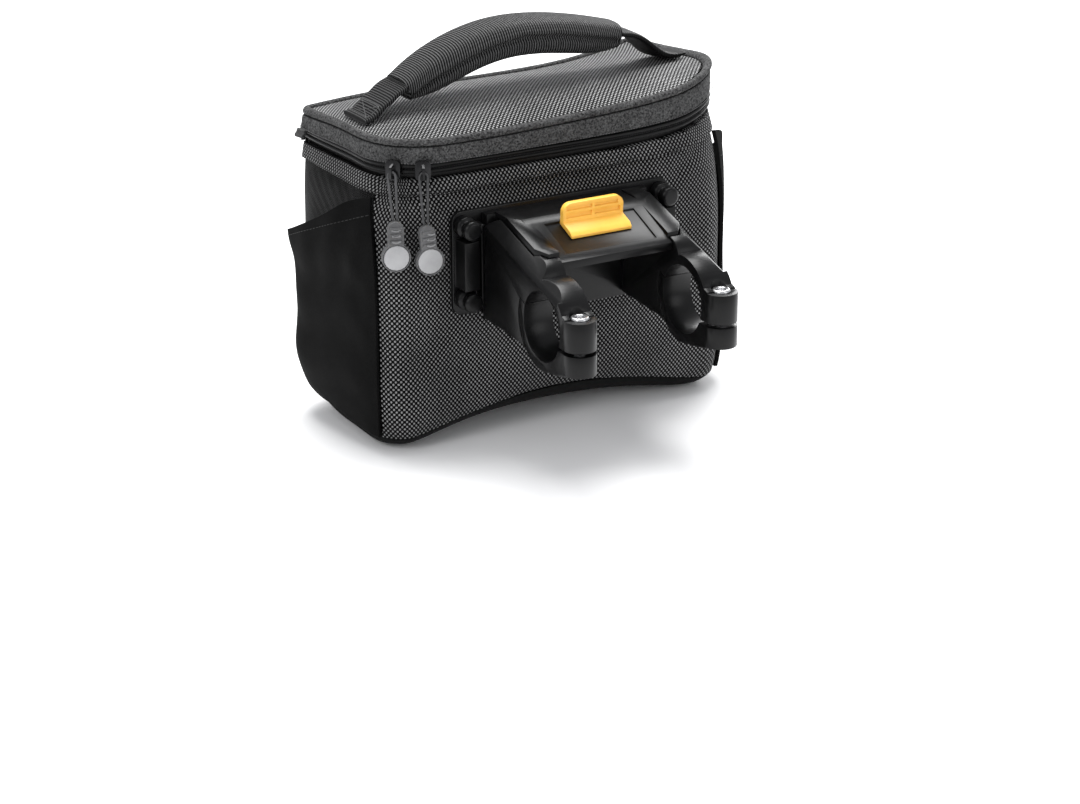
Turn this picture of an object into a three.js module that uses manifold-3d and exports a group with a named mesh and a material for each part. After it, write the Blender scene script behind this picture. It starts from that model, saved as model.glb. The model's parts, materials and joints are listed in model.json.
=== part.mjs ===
// A bicycle handlebar bag and the quick-release bracket that carries it, in millimetres.
// +X runs along the handlebar, +Y points away from the rider and +Z is up.
// The bag stands on z = 0, with the origin under the middle of the tub.

import * as THREE from 'three';
import { mergeVertices } from 'three/addons/utils/BufferGeometryUtils.js';
import Module from 'manifold-3d';

const wasm = await Module();
wasm.setup();

// Clearances
const seatGap = 0.3;          // between two pieces that touch
const seamGap = 0.3;          // between two sewn panels
const hemSeat = 0.65;         // between the tub's wall and what is sewn on it

// Tub of the bag
const bodyHalf = 90.5;        // half its width where it is fullest
const bodyBack = -49;         // rider's side, where it is fullest
const bodyFront = 46.5;
const bodyTop = 129;          // folded edge under the zip
const clothWall = 2.2;
const bodyCorner = 14;        // upright corners
const bodyFrontCorner = 12;
const frontCornerSwell = 5;   // how much rounder the front corners are above the pockets
const frontBend = 32;         // round edge between bottom and front
const backBend = 13;
const sideBend = 4;
const bottomRise = 13;        // how far the bottom lifts behind its middle
const bottomSeam = 7.5;       // height of the seam round the bottom panel

// Lid
const lidHalf = 86;
const lidBack = -47;
const lidFront = 45.2;
const lidBackCorner = 30;
const lidFrontCorner = 5.2;
const lidRim = 146;           // height of the piping's middle
const lidCrown = 6.5;         // how far the top panel swells above its edge
const pipingRadius = 1.9;
const bandThick = 2.6;
const bandHeight = 7.3;

// Zip
const zipInset = 3.4;         // tape behind the lid's outline
const tapeThick = 1.2;
const chainWidth = 4.6;
const chainThick = 1.9;
const hemHeight = 6.5;
const hemThick = 1.2;

// How the loaded cloth has settled: the right end stands out and is drawn up, most at the lid's rim
const endSwell = 4;
const topSwell = 6.3;
const rimSwell = 4.6;
const leftSwell = 2.6;        // how far the zip's left end stands out
const leftSag = 2.4;          // how far the lid's far left corner hangs
const topLift = 9;
const rimClimb = 4;           // the rim's rise along the rider's side, from left to right

// Side pockets
const pocketWall = 1.6;
const pocketBottom = 8.2;
const pocketBackHeight = 121;
const pocketFrontHeight = 89;

// Handle
const handleApex = 186.3;
const gripFrom = -56;
const gripTo = 52;
const gripWidth = 29;
const gripThick = 18;
const strapWidth = 23;
const strapThick = 3;

// Zip pulls
const sliderWidth = 7;
const sliderHeight = 9;
const cordRadius = 0.75;
const loopSpread = 1.9;       // half the distance between the two strands at the slider
const loopMeet = 0.95;        // and at the tab
const tabLength = 23.4;
const tabThick = 3.2;
const tabDisc = 6.6;          // radius of the tab's round end
const tabNeck = 3.6;          // half its width at the top
const discRadius = 5.8;
const discThick = 1.1;

// Plate on the back panel
const plateHalf = 57;
const plateBottom = 65;
const plateTop = 114;
const plateThick = 2.4;
const railWidth = 7.5;
const railDepth = 9.5;
const railCentre = 51.8;
const ribWidth = 2.2;
const ribDepth = 5;
const studRadius = 5;
const studLength = 11.5;
const studInset = 6.4;        // stud centre below the plate's top edge

// Bracket
const coreHalf = 42;
const coreThick = 5;
const coreBottom = 62;
const coreTop = 112.3;
const deckFar = -71.4;        // y where the deck starts to slope
const deckHalf = 28.6;        // at its near edge
const deckWide = 33;          // at the core
const cheekNear = 33.5;       // outer edge of the raised cheek, at its near end
const cheekStep = 1.6;        // how far the arm lies below the cheek
const deckThick = 3.2;
const deckReach = -101.2;     // y of the deck's near edge
const deckSlope = 22;         // degrees
const recessHalf = 23.4;
const recessDepth = 1;
const recessNear = -96.5;
const recessFar = -76;

// Handlebar clamp
const barRadius = 15.9;       // 31.8 mm bar
const barFit = 0.1;
const barY = -109.3;
const barZ = 75.6;
const ringRadius = 20.6;
const armInner = 29;
const armOuter = 43.8;
const armFlat = 37.6;         // x where the arm's flat top ends and its outer slope starts
const armTop = 113.1;
const humpY = -97.1;          // near end of the arm's top line
const humpZ = 104.4;
const bossY = -130;
const bossRadius = 7.6;
const bossTop = 84.4;
const bossBottom = 59.2;
const splitHeight = 69.8;
const splitGap = 1.8;
const boltRadius = 2.5;
const boltHead = 4.3;
const boltHeadHeight = 3.9;
const counterbore = 3;
const boltFit = 0.3;

// Release button
const buttonHalf = 15.6;
const tongueLength = 10.5;
const tongueThick = 2.2;
const tabUpright = 9.2;
const tabLean = 4;            // degrees towards the rider
const tabPlate = 2.8;
const tabCorner = 4.2;
const ribStand = 1;

const upVector = new THREE.Vector3(0, 0, 1);
const degrees = Math.PI / 180;

function smooth(value) {
  const t = Math.min(1, Math.max(0, value));
  return t * t * (3 - 2 * t);
}

// Moves a point of cloth from the bag's even shape to the settled one.
function settle(point) {
  const top = smooth((point.z - 105) / 30);
  const upper = smooth((point.z - 118) / 14);
  const rim = smooth((point.z - 133) / 11) * smooth((164 - point.z) / 8);
  const side = Math.max(0, point.x) / lidHalf;
  const end = Math.min(1, side);
  const away = smooth((point.y - 10) / 38);
  const climb = smooth((point.x + 45) / 125) * smooth((25 - point.y) / 50);
  const bulge = smooth((point.z - 120) / 10) * smooth((147 - point.z) / 6) * smooth((point.y + 10) / 40);
  const left = Math.min(1, Math.max(0, -point.x) / lidHalf);
  const sag = smooth((-point.x - 45) / 40) * smooth(point.y / 45);
  point.x += (endSwell + topSwell * top) * side ** 2 + rimSwell * upper * (1 - 1.5 * away) * end ** 8;
  point.x -= leftSwell * bulge * left ** 8;
  point.z += topLift * top * end ** 4 + rim * (rimClimb * climb - leftSag * sag);
  return point;
}

// Meshes and solids

function geometryFrom(points, triangles) {
  const geometry = new THREE.BufferGeometry();
  const values = points.flatMap((p) => [p.x, p.y, p.z]);
  geometry.setAttribute('position', new THREE.Float32BufferAttribute(values, 3));
  geometry.setIndex(triangles.flat());
  return geometry;
}

function solid(geometry) {
  const bare = geometry.clone();
  bare.deleteAttribute('normal');
  bare.deleteAttribute('uv');
  const merged = mergeVertices(bare, 1e-3);
  const vertProperties = new Float32Array(merged.attributes.position.array);
  const triVerts = new Uint32Array(merged.index.array);
  return new wasm.Manifold(new wasm.Mesh({ numProp: 3, vertProperties, triVerts }));
}

function geometryOf(manifold) {
  const mesh = manifold.getMesh();
  const geometry = new THREE.BufferGeometry();
  geometry.setAttribute('position', new THREE.BufferAttribute(new Float32Array(mesh.vertProperties), 3));
  geometry.setIndex(new THREE.BufferAttribute(new Uint32Array(mesh.triVerts), 1));
  return geometry;
}

function movePoints(geometry, move) {
  const position = geometry.attributes.position;
  const point = new THREE.Vector3();
  for (let i = 0; i < position.count; i += 1) {
    move(point.fromBufferAttribute(position, i));
    position.setXYZ(i, point.x, point.y, point.z);
  }
  return geometry;
}

// Joins rings of equal count into a closed skin. Each ring runs anticlockwise about the way the rings go.
function skin(rings) {
  const count = rings[0].length;
  const points = rings.flat();
  const triangles = [];
  for (let level = 0; level < rings.length - 1; level += 1) {
    for (let i = 0; i < count; i += 1) {
      const a = level * count + i;
      const b = level * count + (i + 1) % count;
      triangles.push([a, b, b + count], [a, b + count, a + count]);
    }
  }
  const middle = (ring) => ring.reduce((sum, p) => sum.add(p), new THREE.Vector3()).divideScalar(count);
  const last = (rings.length - 1) * count;
  const first = points.length;
  points.push(middle(rings[0]), middle(rings[rings.length - 1]));
  for (let i = 0; i < count; i += 1) {
    const next = (i + 1) % count;
    triangles.push([first, next, i], [first + 1, last + i, last + next]);
  }
  return geometryFrom(points, triangles);
}

// Closes two grids of points into one sheet. Rows go up and columns go anticlockwise seen from above.
function sheet(outer, inner, closed = false) {
  const rows = outer.length;
  const columns = outer[0].length;
  const points = [...outer.flat(), ...inner.flat()];
  const inside = rows * columns;
  const at = (row, column) => row * columns + column % columns;
  const triangles = [];
  const quad = (a, b, c, d) => triangles.push([a, b, c], [a, c, d]);
  const spans = closed ? columns : columns - 1;
  for (let j = 0; j < spans; j += 1) {
    for (let i = 0; i < rows - 1; i += 1) {
      quad(at(i, j), at(i, j + 1), at(i + 1, j + 1), at(i + 1, j));
      quad(inside + at(i, j + 1), inside + at(i, j), inside + at(i + 1, j), inside + at(i + 1, j + 1));
    }
    const top = rows - 1;
    quad(at(0, j + 1), at(0, j), inside + at(0, j), inside + at(0, j + 1));
    quad(at(top, j), at(top, j + 1), inside + at(top, j + 1), inside + at(top, j));
  }
  if (!closed) {
    const end = columns - 1;
    for (let i = 0; i < rows - 1; i += 1) {
      quad(at(i, 0), at(i + 1, 0), inside + at(i + 1, 0), inside + at(i, 0));
      quad(at(i + 1, end), at(i, end), inside + at(i, end), inside + at(i + 1, end));
    }
  }
  return geometryFrom(points, triangles);
}

// Plan outlines

// Steps round the outline: it starts at the middle of the front and goes by the left to the back.
const frontSteps = 4;
const cornerSteps = 4;
const sideSteps = 6;
const backSteps = 8;
const outlineCount = 2 * frontSteps + 4 * cornerSteps + 2 * sideSteps + backSteps;
const leftFrontSeam = frontSteps + cornerSteps - 1;
const leftBackSeam = frontSteps + cornerSteps + sideSteps + 1;
const rightBackSeam = outlineCount - leftBackSeam;
const rightFrontSeam = outlineCount - leftFrontSeam;

// A rounded rectangle as points with their outward directions.
function planOutline({ half, back, front, backCorner, frontCorner }) {
  const stations = [];
  const straight = (from, to, steps, direction) => {
    for (let i = 0; i < steps; i += 1) {
      stations.push({ point: from.clone().lerp(to, i / steps), direction });
    }
  };
  const corner = (x, y, radius, startAngle) => {
    for (let i = 0; i < cornerSteps; i += 1) {
      const angle = (startAngle + 90 * i / cornerSteps) * degrees;
      const direction = new THREE.Vector3(Math.cos(angle), Math.sin(angle), 0);
      stations.push({ point: new THREE.Vector3(x, y, 0).addScaledVector(direction, radius), direction });
    }
  };
  const v = (x, y) => new THREE.Vector3(x, y, 0);
  const frontX = half - frontCorner;
  const backX = half - backCorner;
  straight(v(0, front), v(-frontX, front), frontSteps, v(0, 1));
  corner(-frontX, front - frontCorner, frontCorner, 90);
  straight(v(-half, front - frontCorner), v(-half, back + backCorner), sideSteps, v(-1, 0));
  corner(-backX, back + backCorner, backCorner, 180);
  straight(v(-backX, back), v(backX, back), backSteps, v(0, -1));
  corner(backX, back + backCorner, backCorner, 270);
  straight(v(half, back + backCorner), v(half, front - frontCorner), sideSteps, v(1, 0));
  corner(frontX, front - frontCorner, frontCorner, 0);
  straight(v(frontX, front), v(0, front), frontSteps, v(0, 1));
  return stations;
}

// How full the tub is at each height: 0 is its edge under the zip, 1 is its fullest section.
const fullness = [
  { height: 0.00, full: 0.55 },
  { height: 0.08, full: 0.90 },
  { height: 0.27, full: 1.00 },
  { height: 0.45, full: 0.90 },
  { height: 0.70, full: 0.93 },
  { height: 0.84, full: 0.98 },
  { height: 0.90, full: 0.82 },
  { height: 0.95, full: 0.48 },
  { height: 1.00, full: 0.00 },
];

const edgeInset = 2.7;        // tub's folded edge inside the lid's outline

function fullAt(z) {
  const share = Math.min(1, Math.max(0, z / bodyTop));
  const upper = Math.max(1, fullness.findIndex((row) => row.height >= share));
  const low = fullness[upper - 1];
  const high = fullness[upper];
  const t = (share - low.height) / (high.height - low.height);
  return THREE.MathUtils.lerp(low.full, high.full, t);
}

// The tub's outline at a height, moved inwards by an inset that also lifts its floor.
function tubRing(z, inset) {
  const full = fullAt(z);
  const bend = (radius) => {
    const inner = radius - inset;
    const below = inner - (z - inset);
    return below > 0 ? inner - Math.sqrt(Math.max(0, inner * inner - below * below)) : 0;
  };
  const half = THREE.MathUtils.lerp(lidHalf - edgeInset, bodyHalf, full) - inset - bend(sideBend);
  const back = THREE.MathUtils.lerp(lidBack + edgeInset, bodyBack, full) + inset + bend(backBend);
  const front = THREE.MathUtils.lerp(lidFront - edgeInset, bodyFront, full) - inset - bend(frontBend);
  const upper = smooth((z / bodyTop - 0.72) / 0.28);
  const backCorner = THREE.MathUtils.lerp(bodyCorner, lidBackCorner - edgeInset, upper) - inset;
  const rounder = bodyFrontCorner + frontCornerSwell * smooth((z / bodyTop - 0.54) / 0.24);
  const edge = smooth((z / bodyTop - 0.86) / 0.14);
  const frontCorner = THREE.MathUtils.lerp(rounder, lidFrontCorner, edge) - inset;
  const ring = planOutline({ half, back, front, backCorner, frontCorner });
  return ring.map(({ point, direction }) => {
    point.z = z;
    return { point: settleBottom(point), direction };
  });
}

// The bottom lifts a little behind its middle and stays flat below both ends.
const riseHalf = 72;
const riseHeight = 40;
const riseStart = -8;         // y where the lift starts
function settleBottom(point) {
  const across = Math.max(0, 1 - (point.x / riseHalf) ** 2);
  const behind = smooth((riseStart - point.y) / (riseStart - bodyBack));
  const low = smooth(1 - point.z / riseHeight);
  point.z += bottomRise * across * behind * low;
  return point;
}

// Cuts a ring's stations from one step to another, pulled in at both ends by half the seam gap.
function stretch(ring, from, to) {
  const cut = [];
  for (let i = from; i <= to; i += 1) cut.push(ring[i % outlineCount].clone());
  const pull = (end, next) => end.addScaledVector(next.clone().sub(end).normalize(), seamGap / 2);
  pull(cut[0], cut[1].clone());
  pull(cut[cut.length - 1], cut[cut.length - 2].clone());
  return cut;
}

const pointsOf = (stations) => stations.map(({ point }) => point);
const bendHeights = [0, 0.08];
const floorHeights = bendHeights.map((share) => share * frontBend);
const floorShares = [0.12, 0.5, 0.8];
const wallHeights = [0.105, 0.17, 0.25, 0.38, 0.54, 0.70, 0.83, 0.90, 0.955, 1]
  .map((share) => share * bodyTop);

function wallPanel(from, to) {
  const heights = [bottomSeam + seamGap / 2, ...wallHeights.filter((z) => z > bottomSeam + 2)];
  const grid = (inset) => heights.map((z) => stretch(pointsOf(tubRing(z, inset)), from, to));
  return movePoints(sheet(grid(0), grid(clothWall)), settle);
}

function bottomPanel() {
  const heights = [...floorHeights.filter((z) => z < bottomSeam - 1), bottomSeam - seamGap / 2];
  const floorRing = (z, inset) => (share) => pointsOf(tubRing(z, inset)).map((p) => (
    settleBottom(new THREE.Vector3(p.x * share, p.y * share, z))));
  const outer = heights.map((z) => pointsOf(tubRing(z, 0)));
  const inner = heights.slice(1).map((z) => pointsOf(tubRing(Math.max(z, clothWall + 0.4), clothWall)));
  const under = floorShares.map(floorRing(0, 0));
  const over = floorShares.filter((share) => share !== 0.5).map(floorRing(clothWall, clothWall));
  return movePoints(skin([...under, ...outer, ...inner.reverse(), ...over.reverse()]), settle);
}

// The folded edge round the tub's mouth.
function hem() {
  const heights = [bodyTop - hemHeight, bodyTop];
  const grid = (out) => heights.map((z) => pointsOf(tubRing(z, 0).map(({ point, direction }) => (
    { point: point.addScaledVector(direction, out) }))));
  return movePoints(sheet(grid(hemSeat + hemThick), grid(hemSeat), true), settle);
}

// Lid and zip

function lidRing(inset, z) {
  const ring = planOutline({
    half: lidHalf - inset,
    back: lidBack + inset,
    front: lidFront - inset,
    backCorner: lidBackCorner - inset,
    frontCorner: lidFrontCorner - inset,
  });
  return ring.map(({ point, direction }) => ({ point: point.setZ(z), direction }));
}

// A strip that follows the lid's outline between two heights and two insets.
function band(low, high, outerInset, innerInset, from, to) {
  const whole = from === undefined;
  const row = (inset, z) => {
    const points = pointsOf(lidRing(inset, z));
    return whole ? points : stretch(points, from, to);
  };
  const grid = (inset) => [row(inset, low), row(inset, high)];
  return movePoints(sheet(grid(outerInset), grid(innerInset), whole), settle);
}

function pipingRing() {
  const sides = 6;
  const stations = lidRing(pipingRadius, lidRim);
  const loops = [];
  for (let i = 0; i < sides; i += 1) {
    const angle = 2 * Math.PI * i / sides;
    loops.push(stations.map(({ point, direction }) => point.clone()
      .addScaledVector(direction, pipingRadius * Math.cos(angle))
      .addScaledVector(upVector, pipingRadius * Math.sin(angle))));
  }
  const points = loops.flat();
  const triangles = [];
  for (let i = 0; i < sides; i += 1) {
    for (let j = 0; j < outlineCount; j += 1) {
      const a = i * outlineCount + j;
      const b = i * outlineCount + (j + 1) % outlineCount;
      const c = (i + 1) % sides * outlineCount + (j + 1) % outlineCount;
      const d = (i + 1) % sides * outlineCount + j;
      triangles.push([a, b, c], [a, c, d]);
    }
  }
  return movePoints(geometryFrom(points, triangles), settle);
}

const lidTopInset = 2 * pipingRadius + seatGap;
const lidTopEdge = lidRim + 0.4;

// Height of the top panel's outer face over a point of the plan.
function lidHeight(x, y) {
  const across = Math.abs(x) / (lidHalf - lidTopInset);
  const depth = (lidFront - lidBack) / 2 - lidTopInset;
  const along = Math.abs(y - (lidFront + lidBack) / 2) / depth;
  const swell = (1 - Math.min(1, across) ** 3) * (1 - Math.min(1, along) ** 2.4);
  return lidTopEdge + lidCrown * swell;
}

function lidTop() {
  const centre = new THREE.Vector3(0, (lidFront + lidBack) / 2, 0);
  const edge = pointsOf(lidRing(lidTopInset, 0));
  const shares = [1, 0.9, 0.72, 0.45, 0.16];
  const layer = (share, drop) => edge.map((p) => {
    const q = centre.clone().lerp(p, share);
    return q.setZ(lidHeight(q.x, q.y) - drop);
  });
  const under = [1, 0.72, 0.16].map((share) => layer(share, clothWall)).reverse();
  const over = shares.map((share) => layer(share, 0));
  return movePoints(skin([...under, ...over]), settle);
}

const bandTop = lidRim - pipingRadius - seatGap;
const bandBottom = bandTop - bandHeight;
const bandInset = 0.8;
const chainTop = bandBottom - seatGap;
const zipFrom = leftFrontSeam;
const zipTo = rightFrontSeam;

// Side pockets: how far each stands off the tub. Along runs from the back seam to the front one.
const leftPocketAlong = [
  { along: 0.00, stand: 0.00 },
  { along: 0.15, stand: 0.40 },
  { along: 0.45, stand: 0.85 },
  { along: 0.80, stand: 1.15 },
  { along: 0.93, stand: 1.10 },
  { along: 1.00, stand: 0.00 },
];
const rightPocketAlong = [
  { along: 0.00, stand: 0.00 },
  { along: 0.08, stand: 0.76 },
  { along: 0.30, stand: 0.90 },
  { along: 0.75, stand: 0.82 },
  { along: 0.93, stand: 0.55 },
  { along: 1.00, stand: 0.00 },
];
const pocketUp = [
  { up: 0.00, stand: 0.0 },
  { up: 0.06, stand: 3.2 },
  { up: 0.16, stand: 5.4 },
  { up: 0.30, stand: 6.6 },
  { up: 0.55, stand: 4.4 },
  { up: 0.80, stand: 6.0 },
  { up: 1.00, stand: 10.4 },
];

function tableAt(rows, key, value) {
  const upper = Math.max(1, rows.findIndex((row) => row[key] >= value - 1e-9));
  const low = rows[upper - 1];
  const high = rows[upper];
  const t = (value - low[key]) / (high[key] - low[key]);
  return THREE.MathUtils.lerp(low.stand, high.stand, Math.min(1, Math.max(0, t)));
}

function pocket(from, to, alongTable) {
  const levels = [0, 0.06, 0.14, 0.24, 0.36, 0.52, 0.70, 0.84, 0.93, 1];
  const seamY = (step) => tubRing(bodyTop / 2, 0)[step].point.y;
  const isLeft = from < outlineCount / 2;
  const backY = isLeft ? seamY(to) : seamY(from);
  const frontY = isLeft ? seamY(from) : seamY(to);
  const grid = (extra) => levels.map((up) => {
    const row = [];
    for (let step = from; step <= to; step += 1) {
      const along = (seamY(step) - backY) / (frontY - backY);
      const mouth = THREE.MathUtils.lerp(pocketBackHeight, pocketFrontHeight, along);
      const z = THREE.MathUtils.lerp(pocketBottom, mouth, up);
      const { point, direction } = tubRing(z, 0)[step];
      const stand = tableAt(alongTable, 'along', along) * tableAt(pocketUp, 'up', up);
      const face = new THREE.Vector3(Math.sign(direction.x), 0, 0);
      row.push(point.addScaledVector(direction, hemSeat + extra).addScaledVector(face, stand));
    }
    return row;
  });
  return movePoints(sheet(grid(pocketWall), grid(0)), settle);
}

// Handle: sections across a strap or grip that runs towards +X.
function strap(rows) {
  const sides = 12;
  const centres = rows.map((row) => new THREE.Vector3(row.x, 0, row.z));
  const across = new THREE.Vector3(0, 1, 0);
  const rings = rows.map((row, i) => {
    const before = centres[Math.max(0, i - 1)];
    const after = centres[Math.min(rows.length - 1, i + 1)];
    const along = after.clone().sub(before).normalize();
    const up = along.clone().cross(across);
    const ring = [];
    for (let k = 0; k < sides; k += 1) {
      const angle = 2 * Math.PI * (k + 0.5) / sides;
      const c = Math.cos(angle);
      const s = Math.sin(angle);
      const blunt = (v) => Math.sign(v) * Math.abs(v) ** row.blunt;
      ring.push(centres[i].clone()
        .addScaledVector(across, row.width / 2 * blunt(c))
        .addScaledVector(up, row.thick / 2 * blunt(s)));
    }
    return ring;
  });
  return movePoints(skin(rings), settle);
}

const archDrop = 21;          // how far the grip's ends hang below its apex
const gripMiddle = (gripFrom + gripTo) / 2 + 5;
function archTop(x) {
  const reach = x < gripMiddle ? gripMiddle - gripFrom : gripTo - gripMiddle;
  const drop = x < gripMiddle ? archDrop : archDrop * 0.47;
  return handleApex - drop * ((x - gripMiddle) / reach) ** 2;
}

function gripRows() {
  const steps = 12;
  const rows = [];
  for (let i = 0; i <= steps; i += 1) {
    const share = i / steps;
    const x = THREE.MathUtils.lerp(gripFrom, gripTo, share);
    const ends = Math.abs(2 * share - 1);
    const thick = gripThick * (1 - (share > 0.5 ? 0.28 : 0.42) * ends ** 6);
    const width = gripWidth * (1 - 0.2 * ends ** 6);
    rows.push({ x, z: archTop(x) - thick / 2, width, thick, blunt: 0.62 });
  }
  return rows;
}

// The line on which a strap leaves an end of the grip, so far below the grip's top face.
function gripEnd(way, below) {
  const rows = gripRows();
  const [end, next] = way < 0 ? [rows[0], rows[1]] : [rows[rows.length - 1], rows[rows.length - 2]];
  const out = new THREE.Vector2(end.x - next.x, end.z - next.z).normalize();
  const up = new THREE.Vector2(-out.y, out.x).multiplyScalar(way);
  const start = new THREE.Vector2(end.x, end.z).addScaledVector(up, end.thick / 2 - below);
  const at = (distance) => ({ x: start.x + out.x * distance, z: start.y + out.y * distance });
  return [at(seatGap), at(3)];
}

function strapRows(rows) {
  return rows.map((row) => ({ ...row, width: strapWidth, thick: strapThick, blunt: 0.45 }));
}

// Each strap lies on the lid, bends up and meets the grip's end. Heights are above the lid's face.
const layOn = seatGap + strapThick / 2 + 0.25;
const leftFoot = -79;
const rightFoot = 80;
function leftStrap() {
  const [tip, neck] = gripEnd(-1, 3.2);
  const foot = lidHeight(leftFoot + 7, 0) + layOn;
  return strap(strapRows([
    { x: leftFoot, z: lidHeight(leftFoot, 0) + layOn },
    { x: leftFoot + 4, z: lidHeight(leftFoot + 4, 0) + layOn },
    { x: leftFoot + 7, z: foot + 1.4 },
    { x: leftFoot + 10.5, z: foot + 5 },
    { x: neck.x - 6.5, z: neck.z - 4.6 },
    { x: neck.x - 3, z: neck.z - 1.4 },
    neck,
    tip,
  ]));
}

function rightStrap() {
  const [tip, neck] = gripEnd(1, 5);
  const foot = lidHeight(rightFoot - 6, 0) + layOn;
  return strap(strapRows([
    tip,
    neck,
    { x: neck.x + 6, z: neck.z - 2.6 },
    { x: neck.x + 12, z: THREE.MathUtils.lerp(neck.z, foot, 0.55) },
    { x: neck.x + 16.5, z: foot + 2.2 },
    { x: rightFoot - 4, z: lidHeight(rightFoot - 4, 0) + layOn },
    { x: rightFoot, z: lidHeight(rightFoot, 0) + layOn },
  ]));
}

// Extrusions

// Extrudes a side view, drawn with y along and z up, from one x to another.
function alongX(shape, from, to, curveSegments = 12) {
  const geometry = new THREE.ExtrudeGeometry(shape, { depth: to - from, bevelEnabled: false, curveSegments });
  const turn = new THREE.Matrix4().makeBasis(
    new THREE.Vector3(0, 1, 0), new THREE.Vector3(0, 0, 1), new THREE.Vector3(1, 0, 0));
  return geometry.applyMatrix4(turn).translate(from, 0, 0);
}

// Extrudes a front view, drawn with x along and z up, from y = 0 towards the rider.
function towardsRider(shape, depth, curveSegments = 12) {
  const geometry = new THREE.ExtrudeGeometry(shape, { depth, bevelEnabled: false, curveSegments });
  return geometry.rotateX(Math.PI / 2);
}

// Extrudes a plan, drawn with x and y, from one height to another.
function upwards(shape, low, high) {
  return new THREE.ExtrudeGeometry(shape, { depth: high - low, bevelEnabled: false }).translate(0, 0, low);
}

function polygon(pairs) {
  return new THREE.Shape(pairs.map(([a, b]) => new THREE.Vector2(a, b)));
}

function block(x0, x1, y0, y1, z0, z1) {
  const box = new THREE.BoxGeometry(x1 - x0, y1 - y0, z1 - z0);
  return box.translate((x0 + x1) / 2, (y0 + y1) / 2, (z0 + z1) / 2);
}

function roundedRectangle(x0, x1, z0, z1, radius) {
  const shape = new THREE.Shape();
  shape.moveTo(x0 + radius, z0);
  shape.lineTo(x1 - radius, z0);
  shape.absarc(x1 - radius, z0 + radius, radius, -Math.PI / 2, 0);
  shape.lineTo(x1, z1 - radius);
  shape.absarc(x1 - radius, z1 - radius, radius, 0, Math.PI / 2);
  shape.lineTo(x0 + radius, z1);
  shape.absarc(x0 + radius, z1 - radius, radius, Math.PI / 2, Math.PI);
  shape.lineTo(x0, z0 + radius);
  shape.absarc(x0 + radius, z0 + radius, radius, Math.PI, 1.5 * Math.PI);
  return shape;
}

// Zip sliders, cord loops and tabs. Each slider sits on the zip's left back corner. A pull has the way
// that its slider faces, in degrees from +X, how far its tab hangs in from the tub's left side, behind the
// tub's back and below the zip, the way the tab faces and how far it leans.
const pulls = [
  { side: 'left', turn: 222, fromSide: 5.9, fromBack: 1.2, drop: 19.5, tabTurn: 254, lean: 0 },
  { side: 'right', turn: 247.5, fromSide: 19.3, fromBack: 4.8, drop: 22.5, tabTurn: 260, lean: 5 },
];
const chainInset = zipInset - seatGap - chainThick;

const sliderThick = 1.6;
const eyeReach = 3.4;
const zipLine = chainTop - chainWidth / 2;

function slider(pull) {
  const half = sliderWidth / 2;
  const tall = sliderHeight / 2;
  const root = -sliderThick + 0.1;
  const tip = -sliderThick - eyeReach;
  const hollow = -sliderThick - 0.05;
  const plate = towardsRider(roundedRectangle(-half, half, -tall, tall, 2), sliderThick, 4);
  const eye = alongX(polygon([[tip, -3.2], [tip, 2.2], [root, 3.2], [root, -4]]), -0.6, 0.6);
  const hole = alongX(polygon([
    [hollow - 2.65, -2.6], [hollow - 2.65, 1.5], [hollow, 1.5], [hollow, -2.6],
  ]), -3, 3);
  const tongue = block(1 - half, half - 1, -0.2, seatGap + 0.1, 0.5 - tall, chainWidth / 2 - 0.3);
  const geometry = geometryOf(solid(plate).add(solid(tongue)).add(solid(eye)).subtract(solid(hole)));
  const seat = sliderSeat(pull);
  return geometry.rotateZ(pull.turn * degrees + Math.PI / 2).translate(seat.x, seat.y, seat.z);
}

// The point just off the lid's band where the back of a slider's plate sits.
function sliderSeat(pull) {
  const radius = lidBackCorner - bandInset + seatGap;
  return new THREE.Vector3(lidBackCorner - lidHalf, lidBack + lidBackCorner, zipLine)
    .addScaledVector(facing(pull.turn).out, radius);
}

// The way a pull's slider or tab faces, and the way across it.
function facing(turn) {
  const angle = turn * degrees;
  return {
    out: new THREE.Vector3(Math.cos(angle), Math.sin(angle), 0),
    across: new THREE.Vector3(-Math.sin(angle), Math.cos(angle), 0),
  };
}

// The top of a pull's tab.
function tabTopOf(pull) {
  return new THREE.Vector3(pull.fromSide - bodyHalf, bodyBack - pull.fromBack, zipLine - pull.drop);
}

function pullLoop(pull) {
  const top = facing(pull.turn);
  const low = facing(pull.tabTurn);
  const eye = sliderSeat(pull).addScaledVector(top.out, sliderThick + 1.35);
  const tabTop = tabTopOf(pull).addScaledVector(upVector, seatGap);
  const route = new THREE.CurvePath();
  const turnAt = (angle) => eye.clone()
    .addScaledVector(top.across, loopSpread * Math.cos(angle))
    .addScaledVector(upVector, loopSpread * (Math.sin(angle) - 1) + 0.1);
  const strand = (side) => tabTop.clone().addScaledVector(low.across, side * loopMeet);
  const bend = (side) => {
    const start = turnAt(side > 0 ? 0 : Math.PI);
    const control = start.clone().addScaledVector(upVector, loopSpread);
    return [start, control, turnAt(Math.PI / 2)];
  };
  route.add(new THREE.LineCurve3(strand(1), bend(1)[0]));
  route.add(new THREE.QuadraticBezierCurve3(...bend(1)));
  route.add(new THREE.QuadraticBezierCurve3(...bend(-1).reverse()));
  route.add(new THREE.LineCurve3(bend(-1)[0], strand(-1)));
  const section = new THREE.Shape();
  section.absarc(0, 0, cordRadius, 0, 2 * Math.PI);
  return new THREE.ExtrudeGeometry(section, { extrudePath: route, steps: 18, curveSegments: 3 });
}

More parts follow.
